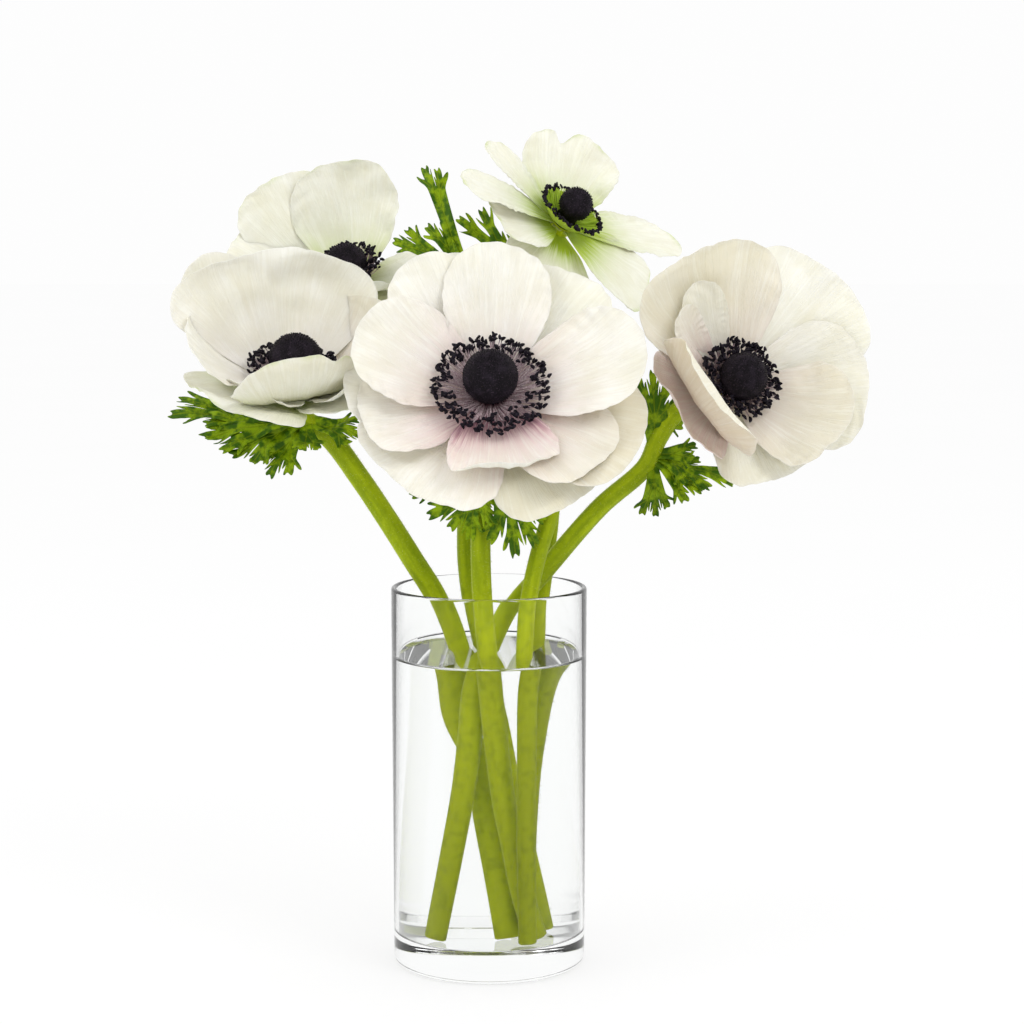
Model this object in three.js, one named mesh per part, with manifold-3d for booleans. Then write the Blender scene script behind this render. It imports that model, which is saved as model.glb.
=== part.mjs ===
// White anemones standing in water in a clear glass cylinder vase.
// Millimetres, +Z up. The origin is the centre of the vase's foot, and the arrangement's front
// faces -Y, with +X to the right. Every bloom is held by its stem, and every stem stands in a
// plain hole in the water.

import * as THREE from 'three';
import { mergeVertices } from 'three/addons/utils/BufferGeometryUtils.js';
import Module from 'manifold-3d';

const wasm = await Module();
wasm.setup();

// The vase, a straight florist's cylinder, and its water
const VASE_HEIGHT = 149.5;
const RIM_RADIUS = 38.3;
const FOOT_RADIUS = 37.7;
const WALL = 2.5;
const FLOOR = 13;
const FOOT_ROUND = 3;
const FLOOR_ROUND = 4;
const WATER_LEVEL = 121.5;
const GAP = 0.3;
const VASE_SIDES = 36;

// Thicknesses and mesh steps of what grew
const PETAL_THICKNESS = 0.9;
const LEAF_THICKNESS = 0.8;
const LEAF_ARCH = -16;
const PETAL_STEPS = [0, 0.3, 0.62, 0.86, 0.98];
const LIPPED_STEPS = [0, 0.3, 0.6, 0.74, 0.87, 0.98];
const WIDE_PETAL = 30;
const STEM_SIDES = 8;
const STEM_STEPS = 15;
const STAMEN_SIDES = 3;
const STAMENS = 18;
const GOLDEN_ANGLE = Math.PI * (3 - Math.sqrt(5));

const UP = new THREE.Vector3(0, 0, 1);
const rad = THREE.MathUtils.degToRad;
const vec = (x, y, z) => new THREE.Vector3(x, y, z);

// Materials
const clearGlass = new THREE.MeshStandardMaterial({ color: 0xe6f0ec, roughness: 0.05, metalness: 0 });
const clearWater = new THREE.MeshStandardMaterial({ color: 0xe9f1ee, roughness: 0.02, metalness: 0 });
const cream = new THREE.MeshStandardMaterial({ color: 0xf0eee4, roughness: 0.6, metalness: 0 });
const nearBlack = new THREE.MeshStandardMaterial({ color: 0x1e1923, roughness: 0.7, metalness: 0 });
const leafGreen = new THREE.MeshStandardMaterial({ color: 0x5c8410, roughness: 0.55, metalness: 0 });

// Booleans

function solid(geometry) {
  const plain = geometry.index ? geometry.toNonIndexed() : geometry.clone();
  for (const name of Object.keys(plain.attributes)) {
    if (name !== 'position') plain.deleteAttribute(name);
  }
  const merged = mergeVertices(plain, 1e-4);
  return new wasm.Manifold(new wasm.Mesh({
    numProp: 3,
    vertProperties: new Float32Array(merged.attributes.position.array),
    triVerts: new Uint32Array(merged.index.array),
  }));
}

function joined(solids) {
  return solids.reduce((whole, piece) => whole.add(piece));
}

function bufferGeometry(body) {
  const { vertProperties, triVerts, numProp } = body.getMesh();
  const count = vertProperties.length / numProp;
  const position = new Float32Array(count * 3);
  for (let i = 0; i < count; i += 1) {
    for (let k = 0; k < 3; k += 1) position[i * 3 + k] = vertProperties[i * numProp + k];
  }
  const geometry = new THREE.BufferGeometry();
  geometry.setAttribute('position', new THREE.BufferAttribute(position, 3));
  geometry.setIndex(new THREE.BufferAttribute(new Uint32Array(triVerts), 1));
  geometry.computeVertexNormals();
  return geometry;
}

function mesh(name, body, material) {
  const piece = new THREE.Mesh(bufferGeometry(body), material);
  piece.name = name;
  return piece;
}

// Vase and water: profiles turned about Z

function roundedCorner(x, y, radius, from, to, steps = 2) {
  const points = [];
  for (let i = 0; i <= steps; i += 1) {
    const angle = rad(from + ((to - from) * i) / steps);
    points.push(new THREE.Vector2(x + radius * Math.cos(angle), y + radius * Math.sin(angle)));
  }
  return points;
}

function turned(points) {
  const geometry = new THREE.LatheGeometry(points, VASE_SIDES);
  geometry.rotateX(Math.PI / 2);
  return solid(geometry);
}

function vaseBody() {
  const inside = RIM_RADIUS - WALL;
  const lip = WALL / 2;
  return turned([
    new THREE.Vector2(0, 0),
    ...roundedCorner(FOOT_RADIUS - FOOT_ROUND, FOOT_ROUND, FOOT_ROUND, -90, 0),
    ...roundedCorner(RIM_RADIUS - lip, VASE_HEIGHT - lip, lip, 0, 180, 3),
    ...roundedCorner(inside - FLOOR_ROUND, FLOOR + FLOOR_ROUND, FLOOR_ROUND, 0, -90),
    new THREE.Vector2(0, FLOOR),
  ]);
}

function waterBody(holes) {
  const radius = RIM_RADIUS - WALL - GAP;
  const round = FLOOR_ROUND;
  const whole = turned([
    new THREE.Vector2(0, FLOOR + GAP),
    ...roundedCorner(radius - round, FLOOR + GAP + round, round, -90, 0),
    new THREE.Vector2(radius, WATER_LEVEL),
    new THREE.Vector2(0, WATER_LEVEL),
  ]);
  return whole.subtract(joined(holes));
}

// Stems: round tubes along hand-set routes, from the cut end in the water up to the bloom

function stemCurve(route) {
  return new THREE.CatmullRomCurve3(route.map(([x, y, z]) => vec(x, y, z)), false, 'centripetal');
}

function tube(route, radius, steps) {
  const section = new THREE.Shape();
  section.absarc(0, 0, radius, 0, Math.PI * 2, false);
  return solid(new THREE.ExtrudeGeometry(section, {
    steps,
    curveSegments: STEM_SIDES / 2,
    extrudePath: stemCurve(route),
  }));
}

// The hole follows the whole stem and runs on past its cut end, through the water's floor
function stemHole(name) {
  const { radius } = STEMS[name];
  const route = wholeRoute(name);
  const [end, next] = route.map((point) => vec(...point));
  const down = end.clone().sub(next).normalize();
  const past = [2, -4].map((step) => end.clone().addScaledVector(down, step).toArray());
  const wide = radius + GAP + 0.2;
  return tube(route, wide, STEM_STEPS).add(tube(past, wide, 1));
}

// Cut leaves: one thin arched blade whose outline is cut into toothed lobes.
// A lobe is [angle, length, width]; angles are from the leaf's own middle line.

// Shape of a lobe's two edges: [share of its reach, share of its width from its middle line, and how
// near it may come to the line half way to the next lobe]
const LOBE_RIGHT = [[0.64, -0.6, 0.92], [0.86, -1.05, 0.92], [0.74, -0.44, 0.5]];
const LOBE_LEFT = [[1, 0, 0.5], [0.7, 0.44, 0.5], [0.8, 1.1, 0.92], [0.6, 0.6, 0.92]];

function leafOutline(length, { fork: forkShare, foot, lobes }) {
  const fork = length * forkShare;
  const polar = (angle, reach, side) => new THREE.Vector2(
    fork + Math.cos(rad(angle)) * reach - Math.sin(rad(angle)) * side,
    Math.sin(rad(angle)) * reach + Math.cos(rad(angle)) * side,
  );
  const outline = [new THREE.Vector2(0, -foot)];
  lobes.forEach(([angle, share, width], i) => {
    const reach = length * share - fork;
    const edge = (points, other) => {
      const half = other ? rad(Math.abs(angle - other[0])) / 2 : 0;
      for (const [along, side, near] of points) {
        const most = half ? near * reach * along * Math.tan(half) : Infinity;
        outline.push(polar(angle, reach * along, Math.sign(side) * Math.min(Math.abs(width * side), most)));
      }
    };
    if (i > 0) {
      const [lastAngle, lastShare, lastWidth] = lobes[i - 1];
      const half = rad(angle - lastAngle) / 2;
      const shorter = length * Math.min(share, lastShare) - fork;
      const sinus = Math.min((0.45 * Math.max(width, lastWidth)) / Math.sin(half), 0.6 * shorter);
      outline.push(polar((angle + lastAngle) / 2, sinus, 0));
    }
    edge(LOBE_RIGHT, lobes[i - 1]);
    edge(LOBE_LEFT, lobes[i + 1]);
  });
  outline.push(new THREE.Vector2(0, foot));
  return outline;
}

// A leaf grows from base to base + to, and its upper side is turned towards face
function cutLeaf(base, { to, face, blade }) {
  const length = vec(...to).length();
  const along = vec(...to).normalize();
  const normal = vec(...face).addScaledVector(along, -along.dot(vec(...face))).normalize();
  const across = new THREE.Vector3().crossVectors(normal, along);
  const geometry = new THREE.ExtrudeGeometry(new THREE.Shape(leafOutline(length, blade)), {
    depth: LEAF_THICKNESS,
    bevelEnabled: false,
  });
  const position = geometry.attributes.position;
  for (let i = 0; i < position.count; i += 1) {
    const p = position.getX(i);
    const turn = (rad(LEAF_ARCH) * p) / length;
    const ahead = Math.abs(turn) < 1e-6 ? p : (Math.sin(turn) * p) / turn;
    const rise = Math.abs(turn) < 1e-6 ? 0 : ((1 - Math.cos(turn)) * p) / turn;
    const lift = position.getZ(i) - LEAF_THICKNESS / 2;
    const point = vec(...base)
      .addScaledVector(along, ahead - lift * Math.sin(turn))
      .addScaledVector(normal, rise + lift * Math.cos(turn))
      .addScaledVector(across, position.getY(i));
    position.setXYZ(i, point.x, point.y, point.z);
  }
  return solid(geometry);
}

// Petals: a spoon-shaped sheet with the same formula for every petal.
// az, len, wid: direction round the bloom, length and width; rise and end: slope at root and tip;
// cup: how far the sides curl up; layer: height of the root; roll: turn about its own middle line;
// lip: extra slope of the tip; skew: how much wider one half is; notch: depth of a cut in the tip.

function bloomFrame({ turn, lift }) {
  const a = rad(turn);
  const e = rad(lift);
  const w = vec(Math.sin(a) * Math.cos(e), -Math.cos(a) * Math.cos(e), Math.sin(e));
  const v = UP.clone().addScaledVector(w, -w.z).normalize();
  const u = new THREE.Vector3().crossVectors(v, w);
  return { u, v, w };
}

function halfWidth(s, wideAt) {
  const claw = 0.16;
  if (s < wideAt) return claw + (1 - claw) * Math.sin((s / wideAt) * (Math.PI / 2));
  return Math.sqrt(Math.max(0, 1 - ((s - wideAt) / (1 - wideAt)) ** 2.6));
}

function petalRows(petal, bloom) {
  const { u, v, w } = bloomFrame(bloom);
  const { az, len, wid, rise, end, cup, layer = 0, roll = 0, root = 3, bend = 1.2 } = petal;
  const { wideAt = 0.64, notch = 0, notchAt = 0, lip = 0, skew = 0 } = petal;
  const slopeAt = (share) => rise + (end - rise) * share ** bend
    + lip * THREE.MathUtils.smoothstep(share, 0.72, 1);
  const heading = u.clone().multiplyScalar(Math.cos(rad(az))).addScaledVector(v, Math.sin(rad(az)));
  const side = u.clone().multiplyScalar(-Math.sin(rad(az))).addScaledVector(v, Math.cos(rad(az)));
  const middle = vec(...bloom.at).addScaledVector(heading, root).addScaledVector(w, layer);
  const rows = [];
  const cells = wid > WIDE_PETAL ? 4 : 2;
  const fine = 24;
  let s = 0;
  for (const target of lip ? LIPPED_STEPS : PETAL_STEPS) {
    const step = (target - s) / fine;
    for (let i = 0; i < fine && step > 0; i += 1) {
      const slope = rad(slopeAt(s + step / 2));
      middle.addScaledVector(heading, Math.cos(slope) * step * len);
      middle.addScaledVector(w, Math.sin(slope) * step * len);
      s += step;
    }
    const slope = rad(slopeAt(target));
    const tangent = heading.clone().multiplyScalar(Math.cos(slope)).addScaledVector(w, Math.sin(slope));
    const face = new THREE.Vector3().crossVectors(tangent, side);
    const r = rad(roll);
    const b = side.clone().multiplyScalar(Math.cos(r)).addScaledVector(face, Math.sin(r));
    const n = face.clone().multiplyScalar(Math.cos(r)).addScaledVector(side, -Math.sin(r));
    const curl = Math.max(1e-3, rad(cup) * (0.35 + 0.65 * Math.sin(Math.PI * target ** 0.8)));
    const row = [];
    for (let j = 0; j <= cells; j += 1) {
      const t = (j / cells) * 2 - 1;
      const half = (wid / 2) * halfWidth(target, wideAt) * (1 + skew * t);
      const angle = curl * t;
      const dip = notch * Math.exp(-(((t * half - notchAt) / 3) ** 2)) * target ** 6;
      const point = middle.clone()
        .addScaledVector(b, (half * Math.sin(angle)) / curl)
        .addScaledVector(n, (half * (1 - Math.cos(angle))) / curl)
        .addScaledVector(tangent, -dip);
      const normal = n.clone().multiplyScalar(Math.cos(angle)).addScaledVector(b, -Math.sin(angle));
      row.push({ point, normal });
    }
    rows.push(row);
  }
  return rows;
}

// A closed thin body from rows of points and normals, with both faces cut into like triangles
function slab(rows, thickness) {
  const across = rows[0].length;
  const positions = [];
  for (const side of [0.5, -0.5]) {
    for (const row of rows) {
      for (const { point, normal } of row) {
        const p = point.clone().addScaledVector(normal, side * thickness);
        positions.push(p.x, p.y, p.z);
      }
    }
  }
  const lower = rows.length * across;
  const index = [];
  const quad = (a, b, c, d) => index.push(a, b, c, a, c, d);
  for (let i = 0; i + 1 < rows.length; i += 1) {
    for (let j = 0; j + 1 < across; j += 1) {
      const a = i * across + j;
      quad(a, a + across, a + across + 1, a + 1);
      index.push(lower + a, lower + a + across + 1, lower + a + across);
      index.push(lower + a, lower + a + 1, lower + a + across + 1);
    }
  }
  const rim = [];
  for (let j = 0; j < across; j += 1) rim.push(j);
  for (let i = 1; i < rows.length; i += 1) rim.push(i * across + across - 1);
  for (let j = across - 2; j >= 0; j -= 1) rim.push((rows.length - 1) * across + j);
  for (let i = rows.length - 2; i > 0; i -= 1) rim.push(i * across);
  rim.forEach((a, k) => {
    const b = rim[(k + 1) % rim.length];
    quad(a, b, lower + b, lower + a);
  });
  const geometry = new THREE.BufferGeometry();
  geometry.setAttribute('position', new THREE.Float32BufferAttribute(positions, 3));
  geometry.setIndex(index);
  return solid(geometry);
}

// A round body about the bloom's facing axis, from [radius, height] pairs
function turnedOnAxis(bloom, profile, sides) {
  const { w } = bloomFrame(bloom);
  const geometry = new THREE.LatheGeometry(profile.map(([r, h]) => new THREE.Vector2(r, h)), sides);
  geometry.applyQuaternion(new THREE.Quaternion().setFromUnitVectors(vec(0, 1, 0), w));
  geometry.translate(...bloom.at);
  return solid(geometry);
}

const RECEPTACLE_TOP = 1;
const RECEPTACLE_DEPTH = 4.3;

function petalsBody(bloom) {
  const receptacle = turnedOnAxis(bloom, [
    [0, -RECEPTACLE_DEPTH], [5, -RECEPTACLE_DEPTH], [7.6, -2.5], [7.6, RECEPTACLE_TOP],
    [0, RECEPTACLE_TOP],
  ], 12);
  const petals = Object.values(bloom.petals).map((petal) => slab(petalRows(petal, bloom), PETAL_THICKNESS));
  return joined([receptacle, ...petals]);
}

// The dome on its short collar, with stamens leaning out of the collar on all sides

function stamenBody(bloom, angle, reach, height) {
  const { u, v, w } = bloomFrame(bloom);
  const out = u.clone().multiplyScalar(Math.cos(angle)).addScaledVector(v, Math.sin(angle));
  const side = new THREE.Vector3().crossVectors(w, out);
  const start = vec(...bloom.at).addScaledVector(out, bloom.collar - 1.5).addScaledVector(w, 3.2);
  const finish = vec(...bloom.at).addScaledVector(out, reach).addScaledVector(w, height);
  const along = finish.clone().sub(start);
  const length = along.length();
  along.normalize();
  const thick = new THREE.Vector3().crossVectors(along, side);
  const stations = [[0, 0.4], [length - 2.4, 0.4], [length - 1, 1]];
  const positions = [];
  for (const [distance, radius] of stations) {
    for (let k = 0; k < STAMEN_SIDES; k += 1) {
      const a = (k / STAMEN_SIDES) * Math.PI * 2;
      const p = start.clone().addScaledVector(along, distance)
        .addScaledVector(side, radius * Math.cos(a)).addScaledVector(thick, radius * Math.sin(a));
      positions.push(p.x, p.y, p.z);
    }
  }
  const index = [0, 2, 1];
  const last = (stations.length - 1) * STAMEN_SIDES;
  for (let i = 0; i < last; i += STAMEN_SIDES) {
    for (let k = 0; k < STAMEN_SIDES; k += 1) {
      const a = i + k;
      const b = i + ((k + 1) % STAMEN_SIDES);
      index.push(a, b, b + STAMEN_SIDES, a, b + STAMEN_SIDES, a + STAMEN_SIDES);
    }
  }
  index.push(last, last + 1, last + 2);
  const geometry = new THREE.BufferGeometry();
  geometry.setAttribute('position', new THREE.Float32BufferAttribute(positions, 3));
  geometry.setIndex(index);
  return solid(geometry);
}

function centreBody(bloom) {
  const { dome, domeUp, ring, ringUp, collar } = bloom;
  const foot = RECEPTACLE_TOP + 2 * GAP;
  const profile = [[0, foot], [collar, foot], [collar, domeUp - dome * 0.6]];
  for (const angle of [-30, 0, 30, 60]) {
    profile.push([dome * Math.cos(rad(angle)), domeUp + dome * Math.sin(rad(angle))]);
  }
  profile.push([0, domeUp + dome]);
  const pieces = [turnedOnAxis(bloom, profile, 12)];
  for (let i = 0; i < STAMENS; i += 1) {
    const share = 0.8 + 0.2 * ((i * 0.618) % 1);
    pieces.push(stamenBody(bloom, i * GOLDEN_ANGLE, ring * share, ringUp - (1 - share) * 3));
  }
  return joined(pieces);
}

// The five blooms: where the petals meet, which way each faces, and its petals

const BLOOMS = {
  a: {
    at: [1, -34, 226], turn: 0, lift: 40, dome: 10.3, domeUp: 12.5, ring: 21.5, ringUp: 8, collar: 6,
    petals: {
      top: { az: 87, len: 60, wid: 42, rise: 6, end: 30, cup: 18 },
      topRightBack: { az: 56, len: 60, wid: 50, rise: 4, end: 18, cup: 8, layer: -2 },
      right: { az: 11, len: 60, wid: 44, rise: 6, end: 40, cup: 20, roll: 4 },
      rightLow: { az: 336, len: 58, wid: 50, rise: 2, end: 6, cup: 8, layer: -2 },
      lowRight: { az: 316, len: 51, wid: 50, rise: -2, end: -2, cup: 8, layer: -2.5 },
      lowInner: { az: 322, len: 50, wid: 42, rise: 4, end: 8, cup: 12, layer: -0.8 },
      lowLeft: { az: 225, len: 47, wid: 54, rise: 0, end: -4, cup: 8, layer: -2 },
      lowBack: { az: 279, len: 39, wid: 42, rise: 3, end: 2, cup: 8, layer: 0.3, lip: 85 },
      leftLow: { az: 186, len: 47, wid: 42, rise: 4, end: 8, cup: 12, layer: -1, skew: 0.2 },
      left: { az: 157, len: 54, wid: 46, rise: 6, end: 38, cup: 18 },
      leftBack: { az: 168, len: 53, wid: 46, rise: 2, end: 22, cup: 8, layer: -2.2 },
      topLeft: { az: 117, len: 62, wid: 38, rise: 5, end: 26, cup: 14, layer: -1 },
      topBack: { az: 102, len: 63, wid: 40, rise: 2, end: 18, cup: 8, layer: -3 },
    },
  },
  b: {
    at: [94, -6, 228], turn: 17, lift: 22, dome: 9.2, domeUp: 12, ring: 15.5, ringUp: 9, collar: 6,
    petals: {
      top: { az: 108, len: 54, wid: 64, rise: 8, end: 50, cup: 24 },
      smallUpper: { az: 116, len: 38, wid: 21, rise: 20, end: 46, cup: 16, layer: 0.4, root: 7 },
      smallLeft: { az: 137, len: 36, wid: 16, rise: 20, end: 60, cup: 16, layer: 0.4, root: 7 },
      topRight: { az: 42, len: 60, wid: 58, rise: 4, end: 26, cup: 12, layer: -2 },
      right: { az: 354, len: 50, wid: 54, rise: 6, end: 34, cup: 16, layer: -1 },
      lowRight: { az: 325, len: 46, wid: 48, rise: 8, end: 56, cup: 24 },
      low: { az: 289, len: 39, wid: 46, rise: 4, end: 22, cup: 12, layer: -2 },
      lowLeft: {
        az: 211, len: 57, wid: 54, rise: -8, end: 130, cup: 14, bend: 0.78, wideAt: 0.6, lip: -100,
        layer: -0.4,
      },
      left: { az: 204, len: 37, wid: 48, rise: 2, end: 60, cup: 16, bend: 1, layer: -2 },
    },
  },
  c: {
    at: [28.4, 27, 290], turn: 50, lift: 47, dome: 6.6, domeUp: 11, ring: 13.3, ringUp: 8.2, collar: 4.5,
    petals: {
      top: { az: 54, len: 41, wid: 40, rise: 14, end: 52, cup: 14, notch: 6, notchAt: 6, roll: -15 },
      upperLeft: { az: 113, len: 41, wid: 18, rise: 10, end: 12, cup: 18, wideAt: 0.74 },
      left: { az: 150, len: 45, wid: 20, rise: 5, end: -6, cup: 16, wideAt: 0.76 },
      lowLeft: { az: 168, len: 30, wid: 34, rise: 2, end: -4, cup: 14 },
      low: { az: 223, len: 31, wid: 38, rise: -14, end: -36, cup: 10, layer: -2 },
      lowRight: { az: 301, len: 43, wid: 44, rise: -5, end: -10, cup: 14 },
      right: { az: 353, len: 70, wid: 24, rise: -2, end: -2, cup: 16, wideAt: 0.55 },
    },
  },
  d: {
    at: [-57.5, 66, 266], turn: -15, lift: 55, dome: 8.6, domeUp: 10, ring: 14.5, ringUp: 9, collar: 6,
    petals: {
      top: { az: 95, len: 55, wid: 46, rise: 6, end: 88, cup: 16, bend: 1.1, wideAt: 0.6, skew: 0.2 },
      leftBack: { az: 140, len: 59, wid: 46, rise: 8, end: 66, cup: 14, layer: -1.5, roll: -8 },
      farLeft: { az: 170, len: 50, wid: 44, rise: 6, end: 38, cup: 14, layer: 0.6 },
      rightUpper: { az: 11, len: 36, wid: 30, rise: 4, end: 20, cup: 14 },
      rightLower: { az: 355, len: 34, wid: 30, rise: 2, end: 8, cup: 12, layer: -2 },
      front: { az: 285, len: 28, wid: 36, rise: 6, end: 80, cup: 10 },
      frontLeft: { az: 230, len: 32, wid: 38, rise: 4, end: 56, cup: 10, layer: -2 },
    },
  },
  e: {
    at: [-75.6, 0, 228.6], turn: 15, lift: 66, dome: 10.4, domeUp: 10.5, ring: 18, ringUp: 8, collar: 6,
    petals: {
      backMiddle: {
        az: 99, len: 58, wid: 85, rise: 8, end: 88, cup: 30, bend: 0.9, layer: -0.6, wideAt: 0.6,
      },
      backLeft: { az: 170, len: 47, wid: 42, rise: 6, end: 56, cup: 16 },
      backRight: { az: 30, len: 50, wid: 50, rise: 8, end: 72, cup: 18, layer: -3 },
      farLeft: { az: 115, len: 69, wid: 46, rise: 6, end: 58, cup: 12, layer: -3 },
      frontLeft: { az: 225, len: 30, wid: 36, rise: 4, end: 40, cup: 12, layer: -0.5 },
      front: { az: 273, len: 45, wid: 52, rise: -2, end: 98, cup: 14, bend: 1.1, skew: -0.2, roll: 8 },
      frontRight: { az: 322, len: 36, wid: 40, rise: 4, end: 66, cup: 14, layer: -1 },
      lowLeft: { az: 217, len: 39, wid: 56, rise: 9, end: 16, cup: 8, layer: -3.3 },
      lowRight: { az: 312, len: 32, wid: 42, rise: 11, end: 24, cup: 8, layer: -3 },
    },
  },
};

// Leaf blades: where the lobes fork off as a share of the length, half the width of the foot, and
// the lobes. Lobe angles grow to the left of a leaf that is seen from its face with its tip up.

const FAN = { fork: 0.3, foot: 2, lobes: [[-44, 0.9, 4], [0, 1, 4.2], [44, 0.9, 4]] };
const TWO = { fork: 0.4, foot: 2.4, lobes: [[-16, 0.95, 4.4], [16, 1, 4.4]] };
const TONGUE = { fork: 0.5, foot: 2, lobes: [[0, 1, 3.6]] };
const HANGING_FAN = {
  fork: 0.35,
  foot: 2.6,
  lobes: [[-40, 1.16, 4.4], [-11, 1.03, 4.2], [19, 1.06, 4.4], [57, 0.92, 4], [95, 0.71, 3.8]],
};
const TURNED_FAN = {
  fork: 0.48,
  foot: 2.4,
  lobes: [[-76, 1.16, 4.4], [-47, 1.3, 4.4], [-24, 1.24, 4.4], [2, 1.05, 4.4], [40, 0.91, 4.6]],
};
const RISING_FAN = {
  fork: 0.42,
  foot: 3,
  lobes: [[-97, 0.76, 4.6], [-44, 0.78, 4.8], [-15, 0.9, 3.6], [4, 1, 3.6], [23, 0.97, 3.6],
    [54, 0.88, 3.8]],
};
const LONG_SIDED = {
  fork: 0.24,
  foot: 2.4,
  lobes: [[-40, 0.56, 4.2], [-14, 0.78, 4.2], [4, 1, 4.4], [30, 0.56, 3.8]],
};
const NARROW_FAN = { fork: 0.45, foot: 2.2, lobes: [[-20, 1, 3.8], [3, 0.98, 3.6], [27, 0.92, 3.8]] };
const LONG_FAN = { fork: 0.42, foot: 3, lobes: [[-11, 0.96, 4.4], [4, 1, 4.4], [24, 0.76, 4.6]] };
const BROAD_FAN = { fork: 0.36, foot: 3, lobes: [[-20, 0.92, 4.6], [2, 1, 4.6], [26, 0.9, 4.6]] };
const STRAP = { fork: 0.55, foot: 2.6, lobes: [[-9, 0.94, 4], [4, 1, 4]] };
const SHORT_STRAP = { fork: 0.4, foot: 2.2, lobes: [[-14, 0.94, 3.6], [12, 1, 3.6]] };
const HALF_STRAP = { fork: 0.5, foot: 2.2, lobes: [[-14, 0.94, 3.6], [12, 1, 3.6]] };

// Stems: radius, route from the cut end upwards (the last two points follow from the bloom), the
// place of the leaf whorl, and its leaves

const STEMS = {
  a: {
    radius: 3.8,
    route: [[15.6, -13.5, 14], [11, -16.2, 33], [7.6, -15, 52], [5, -12, 66], [2, -9.5, 93],
      [-0.4, -8, 121], [-2.3, -8, 141], [-3.2, -8, 165], [-2.6, -10, 188], [-0.5, -15, 204]],
    whorl: [-1.9, -11.7, 194],
    leaves: [
      { to: [-27, -8, -6], face: [0, -0.9, 0.4], blade: TONGUE },
      { to: [-9.6, -10, -19.8], face: [0, -1, 0.1], blade: HANGING_FAN },
      { to: [21, -9, -15.5], face: [0, -1, 0.1], blade: TURNED_FAN },
      { to: [25, -1, -4], face: [0, -0.9, 0.4], blade: TWO },
      { to: [4, 30, -6], face: [0, 0, 1], blade: FAN },
    ],
  },
  b: {
    radius: 3.8,
    route: [[-18.6, -17.5, 14], [-12.7, -15, 45], [-8, -10, 72], [-5.7, -5, 92], [-4, 0, 110],
      [-0.5, 4, 121], [8.6, 7, 139], [22, 11, 154.4], [43.9, 17, 178.8], [62, 18, 195], [67, 19, 206],
      [75, 18, 217]],
    whorl: [65, 18.3, 199],
    leaves: [
      { to: [1, -3, 33], face: [0, -1, -0.1], blade: RISING_FAN },
      { to: [16, -7, 3], face: [0, -0.8, 0.6], blade: TWO },
      { to: [31, -10, -9], face: [0, -0.8, 0.6], blade: LONG_SIDED },
      { to: [16, -10, -15], face: [0, -1, 0.3], blade: TWO },
      { to: [0, -11, -22], face: [0, -1, 0], blade: NARROW_FAN },
    ],
  },
  c: {
    radius: 3.3,
    route: [[14, -25.8, 14], [13.6, -24.6, 34], [13, -22, 52], [12.8, -18, 77], [12.6, -10.5, 110],
      [13.7, -8, 121], [15.2, -5, 142.8], [18.7, -2, 160], [25.9, 6, 185.5], [27.5, 21, 213], [22, 36, 244],
      [19, 37, 268]],
    whorl: [20, 37, 262],
    leaves: [
      { to: [-29, -2, 34], face: [0, -1, 0.1], blade: HALF_STRAP },
      { to: [-16, 3, 28], face: [0, -1, 0.1], blade: SHORT_STRAP },
      { to: [8, 24, 12], face: [0, 0, 1], blade: FAN },
    ],
  },
  d: {
    radius: 3.3,
    route: [[16, -0.6, 14], [9.5, 4, 48], [5, 9, 72], [1.6, 13, 95], [-2.4, 14, 118], [-6.9, 17, 137.5],
      [-9.5, 22, 157], [-10, 27, 180], [-14, 35, 204], [-30, 50, 229], [-46, 65, 246]],
    whorl: [-28, 48, 227],
    leaves: [
      { to: [-22, 20, -4], face: [0, 0, 1], blade: FAN },
      { to: [20, 18, 8], face: [0, 0, 1], blade: TWO },
      { to: [-8, -20, -16], face: [0, 0, 1], blade: FAN },
    ],
  },
  e: {
    radius: 4.2,
    route: [[6.2, -13.5, 14], [2.6, -8.5, 38], [-0.4, -4, 58], [-3, 1.5, 80], [-8.7, 7, 97],
      [-11, 9.5, 117], [-20.5, 8, 143], [-30, 7, 159], [-39.8, 8, 174.6], [-50.7, 9, 191], [-63, 9, 207.5]],
    whorl: [-72, 6, 213.5],
    leaves: [
      { to: [-51, -8, 9], face: [0.1, -0.75, 0.65], blade: LONG_FAN },
      { to: [-38, -14, -1], face: [0.1, -0.75, 0.65], blade: BROAD_FAN },
      { to: [-27, -16, -9], face: [0, -0.8, 0.6], blade: BROAD_FAN },
      { to: [-13, -15, -18], face: [0, -0.9, 0.4], blade: BROAD_FAN },
      { to: [3, -14, -9], face: [0, -0.9, 0.5], blade: TWO },
      { to: [22, -10, -3], face: [0, -0.8, 0.6], blade: BROAD_FAN },
    ],
  },
  f: {
    radius: 3,
    route: [[8, 22, 14], [8.5, 20.5, 50], [10.8, 17.5, 84], [15, 15.5, 111], [19.3, 16, 121],
      [20.5, 18.5, 137.6], [22.9, 21.5, 157.4], [24.9, 26, 181], [20, 30, 205], [8, 30, 235],
      [-6, 26, 262], [-10, 26, 272]],
    whorl: [-9.5, 26, 270],
    leaves: [
      { to: [-15, 0, 44], face: [0, -1, 0.1], blade: STRAP },
      { to: [-12.5, -2, 21.5], face: [0, -1, 0.1], blade: SHORT_STRAP },
      { to: [-27, 0, 17], face: [0, -1, 0.1], blade: HALF_STRAP },
    ],
  },
};

function wholeRoute(name) {
  const whole = [...STEMS[name].route];
  if (name in BLOOMS) {
    const bloom = BLOOMS[name];
    const { w } = bloomFrame(bloom);
    const seat = RECEPTACLE_DEPTH + GAP;
    for (const depth of [seat + 7, seat]) {
      whole.push(vec(...bloom.at).addScaledVector(w, -depth).toArray());
    }
  }
  return whole;
}

function stemBody(name) {
  const { radius, whorl, leaves } = STEMS[name];
  return joined([tube(wholeRoute(name), radius, STEM_STEPS), ...leaves.map((leaf) => cutLeaf(whorl, leaf))]);
}

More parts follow.
